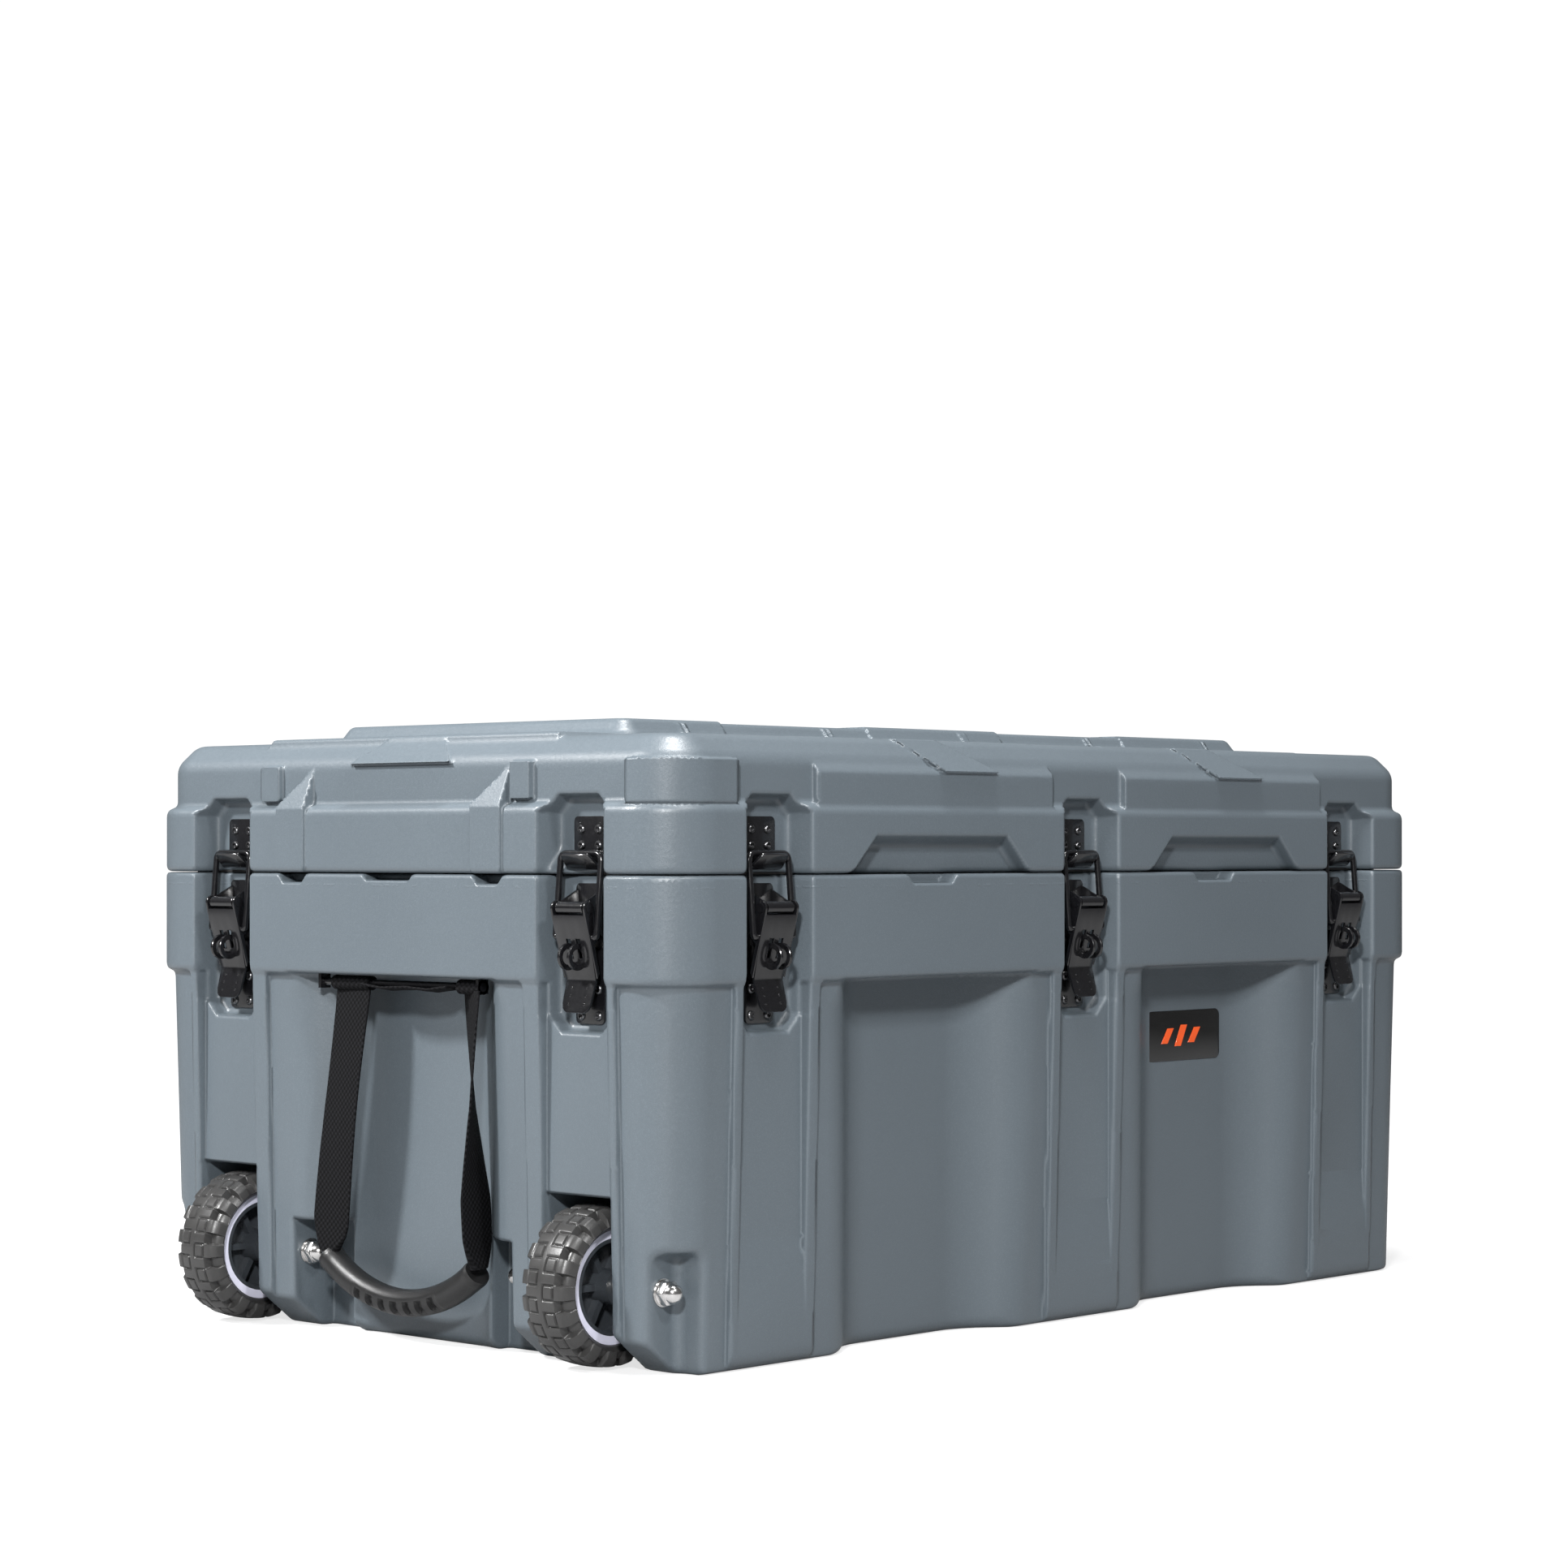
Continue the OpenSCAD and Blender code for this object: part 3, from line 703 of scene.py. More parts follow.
def rounded_rect(x: Array, y: Array, half_x: float, half_y: float, r: float) -> Array:
    """Returns the distance from a rectangle with round corners, less than zero inside it."""
    qx, qy = np.abs(x) - (half_x - r), np.abs(y) - (half_y - r)
    return np.hypot(np.maximum(qx, 0), np.maximum(qy, 0)) + np.minimum(np.maximum(qx, qy), 0) - r


Field = Callable[[Array, Array, Array], Array]


def skin(solid: Field, low: Sequence[float], high: Sequence[float], step: float) -> Shape:
    """Finds the surface of a solid that is given as a distance.

    Args:
        solid: gives the distance from the surface, less than zero inside.
        low: lowest corner of the space that is searched.
        high: highest corner.
        step: size of the search grid.

    Returns:
        The surface, in quads.
    """
    axes = [np.arange(a, b + step, step, dtype=np.float32) for a, b in zip(low, high)]
    value = np.asarray(solid(axes[0][:, None, None], axes[1][None, :, None], axes[2][None, None, :]))
    inside = value < 0
    corners = [(i, j, k) for i in (0, 1) for j in (0, 1) for k in (0, 1)]
    nx, ny, nz = (n - 1 for n in value.shape)
    count = np.zeros((nx, ny, nz), np.int8)
    for i, j, k in corners:
        count += inside[i:nx + i, j:ny + j, k:nz + k]
    cells = np.argwhere((count > 0) & (count < 8))
    total, hits = np.zeros((len(cells), 3)), np.zeros(len(cells))
    for a in corners:
        for axis in range(3):
            if a[axis]:
                continue
            b = tuple(a[n] + (n == axis) for n in range(3))
            va = value[cells[:, 0] + a[0], cells[:, 1] + a[1], cells[:, 2] + a[2]]
            vb = value[cells[:, 0] + b[0], cells[:, 1] + b[1], cells[:, 2] + b[2]]
            crossed = (va < 0) != (vb < 0)
            share = np.where(crossed, va / np.where(crossed, va - vb, 1), 0)
            place = np.array(a, float) + share[:, None] * (np.array(b, float) - a)
            total[crossed] += place[crossed]
            hits[crossed] += 1
    verts = np.array(low, float) + (cells + total / hits[:, None]) * step
    number = np.full((nx, ny, nz), -1, np.int32)
    number[tuple(cells.T)] = np.arange(len(cells))
    quads = []
    for axis in range(3):
        ahead = np.moveaxis(inside, axis, 0)
        grid = np.moveaxis(number, axis, 0)
        for leaving in (True, False):
            at = np.argwhere((ahead[:-1] == leaving) & (ahead[1:] != leaving))
            fits = [(at[:, n] > 0) & (at[:, n] < grid.shape[n]) for n in (1, 2)]
            at = at[fits[0] & fits[1]]
            i, j, k = at.T
            quad = np.stack([grid[i, j - 1, k - 1], grid[i, j, k - 1], grid[i, j, k], grid[i, j - 1, k]], 1)
            quads.append(quad if leaving != (axis == 1) else quad[:, ::-1])
    return Shape(verts, np.vstack(quads).tolist())


def directions(solid: Field, verts: Array, reach: float = 0.7) -> Array:
    """Returns the outward direction of a solid's surface at each vertex, read from the solid itself."""
    slopes = []
    for axis in range(3):
        side = np.zeros(3)
        side[axis] = reach
        slopes.append(solid(*(verts + side).T) - solid(*(verts - side).T))
    normals = np.stack(slopes, 1)
    return normals / np.maximum(np.linalg.norm(normals, axis=1), 1e-9)[:, None]


def snapped(solid: Field, shape: Shape, reach: float) -> Shape:
    """Moves each vertex onto the solid's own surface, so that edges stay crisp.

    Args:
        solid: gives the distance from the surface.
        shape: the mesh that was found.
        reach: how far a vertex may move at a time.

    Returns:
        The sharper mesh.
    """
    verts = shape.verts
    for _ in range(3):
        off = np.clip(solid(*verts.T), -reach, reach)
        verts = verts - directions(solid, verts) * off[:, None]
    return Shape(verts, shape.faces)


def thinned(shape: Shape, faces: int) -> Shape:
    """Drops the vertices that flat places don't need.

    Args:
        shape: a dense mesh.
        faces: about how many triangles to keep.

    Returns:
        The lighter mesh.
    """
    mesh = bpy.data.meshes.new("dense")
    mesh.from_pydata(shape.verts.tolist(), [], shape.faces)
    holder = bpy.data.objects.new("dense", mesh)
    bpy.context.scene.collection.objects.link(holder)
    fewer = holder.modifiers.new("fewer", "DECIMATE")
    fewer.ratio = min(1.0, faces / (2 * len(shape.faces)))
    light = bpy.data.meshes.new_from_object(holder.evaluated_get(bpy.context.evaluated_depsgraph_get()))
    verts = np.zeros(len(light.vertices) * 3)
    light.vertices.foreach_get("co", verts)
    polygons = [tuple(p.vertices) for p in light.polygons]
    bpy.data.objects.remove(holder)
    bpy.data.meshes.remove(mesh)
    bpy.data.meshes.remove(light)
    return Shape(verts.reshape(-1, 3), polygons)


def moulded(
    solid: Callable[[Array, Array, Array], Array], low: Sequence[float], high: Sequence[float],
    step: float, faces: int,
) -> tuple[Shape, Array]:
    """Turns a moulding's solid into a mesh.

    Args:
        solid: gives the distance from the surface, at some points.
        low: the lowest corner of the room it is looked for in.
        high: the highest corner.
        step: the size of a cell.
        faces: how many faces to keep.

    Returns:
        The mesh, and the surface's own direction at each of its points.
    """
    dense = skin(solid, low, high, step)
    shape = thinned(snapped(solid, dense, step / 4), faces)
    return shape, directions(solid, shape.verts)


@dataclass
class Case:
    """Sizes that the tub and the lid share."""

    length: float
    width: float
    seam: float
    corner: float = 50.0
    rim: float = 79.0
    latch_a: float = 373.0
    latch_b: float = 203.0
    recess_half: float = 35.5
    recess_depth: float = 24.0
    recess_low: float = 118.0
    recess_high: float = 61.0
    chamfer: float = 14.0
    wall: float = 7.0
    niche_wall: float = 76.0

    def edge(self, x: Array, y: Array) -> Array:
        """Returns the distance from the rim's outline."""
        return rounded_rect(x, y, self.length / 2, self.width / 2, self.corner)

    def faces(self, x: Array, y: Array) -> tuple[tuple[Array, Array], tuple[Array, Array]]:
        """Gives each point's place on the long sides and on the ends.

        Returns:
            For the long sides and then the ends: the distance along from the nearest latch, and the depth.
        """
        nearest = self.latch_a * np.clip(np.round(x / self.latch_a), -1, 1)
        side = (x - nearest, self.width / 2 - np.abs(y))
        end = (np.abs(y) - self.latch_b, self.length / 2 - np.abs(x))
        return side, end

    def recess(self, along: Array, depth: Array, z: Array) -> Array:
        """Returns the eight-sided latch recess as a tool to cut with."""
        middle = self.seam + (self.recess_high - self.recess_low) / 2
        half = (self.recess_high + self.recess_low) / 2
        draft = np.maximum(depth, 0) * 0.14
        u, v = np.abs(along) - self.recess_half, np.abs(z - middle) - half
        eight = most(u, v, (u + v + self.chamfer) * DIAGONAL) + draft
        return soft_max(eight, depth - self.recess_depth, 5)


@dataclass
class Tub:
    """The moulded tub with its pockets, pillars, wheel wells and nut niches."""

    case: Case
    step: float = 3.0
    faces: int = 195000
    inset_top: float = 2.5
    inset_low: float = 10.0
    frame_depth: float = 4.5
    pocket_depth: float = 41.0
    side_pocket: tuple[float, float, float] = (139.5, 109.5, 70.5)
    end_pocket: tuple[float, float, float] = (150.0, 114.0, 76.0)
    channel: float = 12.0
    well_x: float = -392.0
    well_top: float = 128.0
    axle_x: float = -460.0
    notch_x: tuple[float, float] = (-199.5, 168.0)
    notch_lean: float = 0.8
    notch_reach: float = 16.0
    floor_radius: float = 14.0
    niche_half: float = 20.0
    niche_depth: float = 37.0
    niche_flare: float = 0.12
    niche_top: float = 90.0
    heel: tuple[float, float, float] = (44.0, 0.632, 0.775)

    def pocket(
        self, along: Array, depth: Array, z: Array, inset: Array, sizes: Sequence[float]
    ) -> tuple[Array, Array]:
        """Gives the two cuts of a pocket.

        Args:
            along: distance from the pocket's middle.
            depth: distance in from the rim face.
            z: height.
            inset: how far in the body's face is at that height.
            sizes: half widths of the shallow frame, of the pocket's mouth and of its back.

        Returns:
            The shallow frame and the deep pocket.
        """
        top = self.case.seam - self.case.rim
        frame_half, mouth, back = sizes
        frame_cut = most(np.abs(along) - frame_half, depth - inset - self.frame_depth)
        shallow = soft_max(frame_cut, z - top + 1, 5)
        run = (mouth - back) / (self.pocket_depth - 8)
        slope = (np.abs(along) - mouth + (depth - 8) * run) / math.hypot(1, run)
        deep = soft_max(soft_max(slope, depth - self.pocket_depth, 16), z - top, 3)
        return shallow, deep

    def outside(self, x: Array, y: Array, z: Array) -> Array:
        """Returns the outer skin, open at the top."""
        c = self.case
        top = c.seam - c.rim
        edge, (side, end) = c.edge(x, y), c.faces(x, y)
        inset = self.inset_top + (self.inset_low - self.inset_top) * np.clip((top - z) / top, 0, 1)
        solid = soft_min(soft_max(edge, top - z, 5), soft_max(edge + inset, -z, self.floor_radius), 4)
        # the flat corner panels, outside the last latches
        corner = most(c.latch_a + c.recess_half + 9 - np.abs(x), c.latch_b + c.recess_half + 8 - np.abs(y))
        panel = soft_max(most(corner, -(edge + inset + self.frame_depth)), z - top + 1, 6)
        solid = cut(solid, panel, 1.6)
        # the pockets between the latches, whose upper edges are the sharper ones
        middle = np.abs(x) - c.latch_a / 2
        for along, depth, sizes in ((middle, side[1], self.side_pocket), (y, end[1], self.end_pocket)):
            shallow, deep = self.pocket(along, depth, z, inset, sizes)
            lip = np.clip((top - z) / 20, 0, 1)
            solid = cut(cut(solid, shallow, 1.6), deep, 2.5 + 8.5 * lip)
        # the latch recesses, with a channel that fades out below them
        fade = np.clip((95 - z) / 60, 0, 1)
        for along, depth in (side, end):
            trough = most(np.abs(along) - c.recess_half, depth - self.channel + 4 * fade, z - top + 2)
            solid = cut(cut(solid, trough, 2.5), c.recess(along, depth, z), 2.5)
        well = most(x - self.well_x, np.abs(end[0]) - c.recess_half, z - self.well_top)
        solid = cut(solid, well, 2)
        # the niches for the axle nuts, outside and inside each wheel
        flare = np.abs(x - self.axle_x) - self.niche_half + (c.width / 2 - np.abs(y)) * self.niche_flare
        outer = soft_max(flare, c.width / 2 - self.niche_depth - np.abs(y), 8)
        outer = soft_max(outer, z - self.niche_top, 12)
        inner = most(
            np.abs(y) - c.latch_b + c.niche_wall, c.latch_b - 122 - np.abs(y),
            x - self.axle_x - 24, z - 88,
        )
        solid = cut(cut(solid, outer, 6), inner, 4)
        heel, run, rise = self.heel
        slant = (x + c.length / 2 - heel) * -run - z * rise
        return soft_max(solid, slant, 3)

    def solid(self, x: Array, y: Array, z: Array) -> Array:
        """Returns the whole tub with its inside."""
        c = self.case
        edge, outer, (side, end) = c.edge(x, y), self.outside(x, y, z), c.faces(x, y)
        room = soft_min(most(outer + c.wall, z - c.seam + 13), most(edge + 30, c.seam - 20 - z), 3)
        made = cut(soft_max(outer, z - c.seam, 3.5), room, 2.5)
        end_notches = ((0, 29, 5), (c.latch_b - 89, 17, 7))
        notches = [(x - centre, 29, 7, side[1]) for centre in self.notch_x]
        notches += [(np.abs(y) - centre, half, deep, end[1]) for centre, half, deep in end_notches]
        for along, half, deep, depth in notches:
            flank = np.abs(along) - half + (c.seam - z) * self.notch_lean
            made = cut(made, most(flank, c.seam - deep - z, depth - self.notch_reach), 2)
        return made

    def build(self, bench: Bench) -> None:
        """Makes the tub."""
        c = self.case
        low = (-c.length / 2 - 6, -c.width / 2 - 6, -6)
        high = (c.length / 2 + 6, c.width / 2 + 6, c.seam + 6)
        shape, normals = moulded(self.solid, low, high, self.step, self.faces)
        bench.put("tub_moulding", shape, "root", "moulding", Finish.SHELL, TUB_NODES, normals=normals)


@dataclass
class Lid:
    """The lift-off lid with its bevel, raised panel, blocks, fins and finger pockets."""

    case: Case
    gap: float = 0.8
    step: float = 2.6
    faces: int = 190000
    rim: float = 52.0
    wall_top: float = 86.2
    bevel: float = 17.0
    inset: float = 9.0
    panel_h: float = 15.0
    panel_half: tuple[float, float] = (405.0, 172.0)
    panel_steps: tuple[float, ...] = (-266.0, -94.5, 74.0, 244.0)
    tick_x: tuple[float, ...] = (-332.0, -164.0, 5.0, 175.0, 344.0)
    stripes: tuple[tuple[float, float], ...] = ((-215.0, -163.0), (145.0, 196.0))
    finger_depth: float = 14.0
    finger_half: float = 105.5
    finger_top: float = 28.5
    block_half: float = 141.0
    fin_y: float = 114.0
    fin_half: float = 17.0
    rib_y: float = 146.0

    def outside(self, x: Array, y: Array, z: Array) -> Array:
        """Returns the outer skin, open below."""
        c = self.case
        low = c.seam + self.gap
        wall_top, top = low + self.wall_top, low + self.wall_top + self.bevel
        edge, (side, end) = c.edge(x, y), c.faces(x, y)
        slope = (edge + self.inset + z - wall_top) * DIAGONAL
        rim = soft_max(edge, z - low - self.rim, 8)
        upper = soft_max(soft_max(edge + self.inset, slope, 5), z - top, 5)
        solid = soft_min(rim, upper, 5)
        # the blocks between the latches, and the raised corners at two of the four
        block = most(np.abs(np.abs(x) - c.latch_a / 2 - 1.5) - self.block_half, edge + 2.5, z - top)
        block = soft_max(block, slope + 2, 1.5)
        solid = soft_min(solid, most(block, low + 30 - z), 1.5)
        wrap = most(
            c.latch_a + 42 - np.abs(x), c.latch_b + 55 - np.abs(y), edge + 2.5,
            np.abs(z - low - 68.5) - 16.5,
        )
        solid = soft_min(solid, np.where(x * y > 0, wrap, 99), 1.5)
        # the end fins, each a half turn from the other end's, and a small rib beside each
        turned = y * -np.sign(x)
        reach = turned - self.fin_y * np.sign(turned)
        fin = most(
            np.abs(reach) - self.fin_half, -3 - end[1] + np.maximum(z - low - 50, 0) * 0.39,
            (z - low - 52 - (self.fin_half - reach) * 0.91) * 0.74,
        )
        small = most(np.abs(np.abs(y) - self.rib_y) - 11, 3 - end[1], np.abs(z - low - 70) - 14)
        solid = soft_min(soft_min(solid, fin, 1.5), small, 1.5)
        # the slanted patches on the bevel
        for start, stop in self.stripes:
            run = top - 3 - z
            patch = most(
                start + run * 1.36 - x, x - stop - run * 2.0, slope - 1.8, z - top - 0.4, wall_top - 9 - z
            )
            solid = soft_min(solid, patch, 1)
        run = top - z
        patch = most(
            -41 - turned + run * -1.3, turned - 23 - run * 1.5, slope - 1.8, z - top - 0.4, wall_top - 2 - z
        )
        solid = soft_min(solid, np.where(end[1] < 60, patch, 99), 1)
        pad = most(np.abs(y) - 168, edge + self.inset + self.bevel - 3)
        solid = soft_min(solid, soft_max(pad, z - top - 3, 4), 3)
        for along, depth in (side, end):
            solid = cut(solid, c.recess(along, depth, z), 2.5)
        # the finger pockets
        flank = (np.abs(np.abs(x) - c.latch_a / 2) - self.finger_half + (z - low)) * DIAGONAL
        fingers = most(flank, z - low - self.finger_top + np.maximum(side[1], 0) * 0.4)
        solid = cut(solid, soft_max(fingers, side[1] - self.finger_depth, 5), 2.5)
        return soft_min(solid, self.panel(x, y, z, top), 4)

    def panel(self, x: Array, y: Array, z: Array, top: float) -> Array:
        """Returns the raised panel, in lengths that step down and up by turns."""
        length = sum(((x + np.abs(y) * 0.12) > b) * 1 for b in self.panel_steps)
        drop = (length % 2) * 1.6
        outline = rounded_rect(x, y, *self.panel_half, 22) + drop
        made = soft_max(outline * 0.8 + (z - top) * 0.6, z - top - self.panel_h + drop, 3)
        for place in self.tick_x:
            tick = most(np.abs(np.abs(x - place) - 3) - 1.3, outline * 0.8 + (z - top) * 0.6 - 1.4,
                        z - top - self.panel_h + 3)
            made = soft_min(made, tick, 1.5)
        return made

    def solid(self, x: Array, y: Array, z: Array) -> Array:
        """Returns the whole lid with its inside."""
        c = self.case
        low = c.seam + self.gap
        outer, edge = self.outside(x, y, z), c.edge(x, y)
        room = soft_min(most(outer + c.wall, low + 9 - z), most(edge + 30, z - low - 14), 3)
        return cut(soft_max(outer, low - z, 5), room, 2.5)

    def build(self, bench: Bench) -> None:
        """Makes the lid."""
        c = self.case
        low = (-c.length / 2 - 8, -c.width / 2 - 8, c.seam - 6)
        top = c.seam + self.gap + self.wall_top + self.bevel + self.panel_h
        high = (c.length / 2 + 8, c.width / 2 + 8, top + 6)
        shape, normals = moulded(self.solid, low, high, self.step, self.faces)
        bench.put("lid_moulding", shape, "lid", "moulding", Finish.SHELL, LID_NODES, normals=normals)


# ---------- latches ----------


@dataclass
class Latch:
    """One draw latch: X along the wall, -Y out of the recess's back, heights from the seam."""

    seam: float
    thick: float = 2.0
    pin: Point = (20.0, -24.0)
    foot: Point = (16.5, -45.5)
    bar: Point = (11.0, 16.0)
    knee: Point = (11.5, -78.0)
    tip: Point = (18.0, -101.0)
    half: float = 18.0
    leg: float = 21.5
    rod: float = 2.5
    ring: Point = (20.0, -60.0)
    ring_gap: float = 5.0

    def disc(self, radius: float, height: float, sides: int = 20) -> Shape:
        """Returns a low domed button that stands out of a wall."""
        top = [(radius * math.cos(a), height * math.sin(a)) for a in np.linspace(0, 1.45, 6)]
        return along_y(lathe([(0.02, -0.3), (radius, -0.3), *top, (0.02, height)], sides))

    def side_plate(self, outline: Sequence[Point], at: float) -> Shape:
        """Returns a plate that stands on edge, from its outline in distance out and height."""
        flat = prism([(-out, z) for out, z in outline], -self.thick / 2, self.thick / 2)
        upright = Matrix(((0, 0, 1, at), (1, 0, 0, 0), (0, 1, 0, 0), (0, 0, 0, 1)))
        return flat.turned(upright).rounded(0.45)

    def arc(self, centre: Point, radius: float, start: float, stop: float, steps: int = 8) -> list[Point]:
        """Returns the points of an arc between two angles in degrees."""
        turns = np.radians(np.linspace(start, stop, steps))
        return [(centre[0] + radius * math.cos(a), centre[1] + radius * math.sin(a)) for a in turns]

    def between(self, start: Point, stop: Point, shares: Sequence[float]) -> list[Point]:
        """Returns the points at some shares of the way from one point to another."""
        return [tuple(np.array(start) * (1 - t) + np.array(stop) * t) for t in shares]

    def lever(self) -> Shape:
        """Returns the lever: slotted face, flared finger tab and two side flanges."""
        top = (24.5, self.pin[1] - 5.3)
        bends = [top, *self.between(top, self.knee, (0.36, 0.66, 0.88))]
        slot_z = (bends[2][1], bends[1][1])
        out, up = self.knee
        line = [*bends, (out + 0.2, up + 2), self.knee, (out + 0.6, up - 2)]
        line += self.between(self.knee, self.tip, (0.7, 0.86, 0.95, 1.0))
        halves = [17.2, 17.4, 17.0, 16.2, 15.6, 15.4, 15.4, 14.8, 13.6, 11.6, 9.0]
        slots = [(s * self.ring_gap - 2.3, s * self.ring_gap + 2.3) for s in (-1, 1)]
        face = bent_sheet(line, halves, self.thick, slots, slot_z).rounded(0.4, 2, 50)
        pin, foot = self.arc(self.pin, 5.6, 100, -20), self.arc(self.foot, 5.2, 250, 170, 6)
        outline = [*pin, top, (out, up + 2), (out - 2, up + 6), *foot]
        flanges = [self.side_plate(outline, s * (self.half - 1)) for s in (-1, 1)]
        slope = (self.tip[0] - out) / (self.tip[1] - up)
        dots = [
            self.disc(1.1, 0.35, 12).moved(u, -(out + slope * drop), up + drop)
            for u in (-8.0, 8.0) for drop in (-5.0, -11.0, -17.0)
        ]
        return joined([face, *flanges, *dots]).moved(z=self.seam)

    def bail(self) -> Shape:
        """Returns the bent rod that hooks over the keeper."""
        feet = [(s * (self.half - 1.5), -self.foot[0], self.foot[1]) for s in (-1, 1)]
        low = [(s * self.leg, -self.foot[0], self.foot[1]) for s in (-1, 1)]
        high = [(s * self.leg, -self.bar[0], self.bar[1]) for s in (-1, 1)]
        path = soft_path([feet[0], low[0], high[0], high[1], low[1], feet[1]], 6)
        ring = circle(self.rod, 14)
        return swept(path, lambda share: ring, (0, 0, 1)).moved(z=self.seam)

    def bracket(self) -> Shape:
        """Returns the plate on the tub with its rolled barrel, ears and two padlock rings."""
        plate = along_y(prism(plate_outline(15, 52, 4), 0, self.thick)).rounded(0.4).moved(z=-58)
        roll = lathe([(2.6, -14), (4.2, -14), (4.7, -13.4), (4.7, 13.4), (4.2, 14), (2.6, 14)], 28)
        barrel = along_x(roll).moved(y=-self.pin[0], z=self.pin[1])
        ears = []
        for s in (-1, 1):
            round_pin = self.arc(self.pin, 4.7, -60, 95)
            outline = [(1.5, self.pin[1] - 22), *round_pin, (1.5, self.pin[1] + 14)]
            ears.append(self.side_plate(outline, s * 13))
        lower = [(5.8, -0.8), (6.3, -1.25), (9.5, -1.25), (10, -0.8)]
        hoop = lathe([*lower, *[(r, -h) for r, h in reversed(lower)]])
        rings = []
        for s in (-1, 1):
            rings.append(along_x(hoop).moved(s * self.ring_gap, -self.ring[0], self.ring[1]))
            stem = [(out, self.ring[1] + up) for out, up in ((1.5, -7), (11, -7), (11, 7), (1.5, 7))]
            rings.append(self.side_plate(stem, s * self.ring_gap))
        return joined([plate, barrel, *ears, *rings]).moved(z=self.seam)

    def keeper(self) -> Shape:
        """Returns the plate on the lid with its hook for the bail."""
        plate = along_y(prism(plate_outline(17, 19, 4), 0, self.thick)).rounded(0.4).moved(z=24.5)
        slope = [(out, out - 1.5) for out in (17.9, 17.2, 15.6, 11.2, 7.9)]
        line = [*slope, (7.0, 5.9), (5.6, 5.8), (0.4, 5.8)]
        hook = bent_sheet(line, [12.5, 14.0, 15.2, 16.2, 17, 17, 17, 17], -self.thick).rounded(0.35, 2, 50)
        pits = [self.disc(1.1, 0.3, 12).moved(u, -self.thick, z) for u in (-10.5, 10.5) for z in (38.0, 17.0)]
        return joined([plate, hook, *pits]).moved(z=self.seam)

    def screws(self, heights: Sequence[float]) -> Shape:
        """Returns round-headed socket screws at some heights from the seam."""
        socket, dome = [(0.9, 0.4), (1.7, 0.4), (1.8, 1.5)], [(2.6, 1.5), (3.4, 0.9), (3.7, 0)]
        head = along_y(lathe([*socket, *dome, (3.7, -0.4), (0.9, -0.4)]))
        return joined([head.moved(s * 9, -self.thick, self.seam + z) for s in (-1, 1) for z in heights])


@dataclass
class LatchSet:
    """All the latches, placed by the levers' own hinges."""

    latch: Latch
    joints: Sequence[dict]
    shift: float
    groups: dict[str, list[str]] = field(default_factory=dict)

    def places(self) -> dict[str, Matrix]:
        """Returns where each latch is, by its name."""
        found = {}
        for joint in self.joints:
            if not joint["name"].endswith("_throw"):
                continue
            name = joint["child"].removeprefix("lever_")
            axis, pin = Vector(joint["axis"]), Vector(joint["pos_m"]) / MM
            out = Vector((0, 0, 1)).cross(axis)
            back = pin - out * self.latch.pin[0]
            place = Matrix((-axis, -out, (0, 0, 1))).transposed().to_4x4()
            place.translation = (back.x - self.shift, back.y, 0)
            found[name] = place
            self.groups.setdefault(name.rsplit("_", 1)[0], []).append(name)
        return found

    def build(self, bench: Bench) -> None:
        """Makes every latch."""
        places = self.places()
        lever, bail, bracket, keeper = (
            self.latch.lever(), self.latch.bail(), self.latch.bracket(), self.latch.keeper()
        )
        steel = ("latch_steel", Finish.BLACK_STEEL)
        for name, place in places.items():
            node = f"lever_{name}"
            bench.put(f"throw_{name}", lever.turned(place), node, *steel, [node])
            node = f"bail_{name}"
            bench.put(f"wire_{name}", bail.turned(place), node, *steel, [node], 60)
        for group, names in self.groups.items():
            brackets = joined([bracket.turned(places[n]) for n in names])
            bench.put(f"bracket_set_{group}", brackets, "root", *steel, [f"latch_brackets_{group}"])
            keepers = joined([keeper.turned(places[n]) for n in names])
            bench.put(f"keeper_set_{group}", keepers, "lid", *steel, [f"keepers_{group}"])
        sets = (("bracket_screws", "root", (-104, -84)), ("keeper_screws", "lid", (22, 34)))
        for name, body, heights in sets:
            heads = joined([self.latch.screws(heights).turned(p) for p in places.values()])
            bench.put(f"{name}_heads", heads, body, "screws", Finish.SCREW, [name])


# ---------- wheels ----------


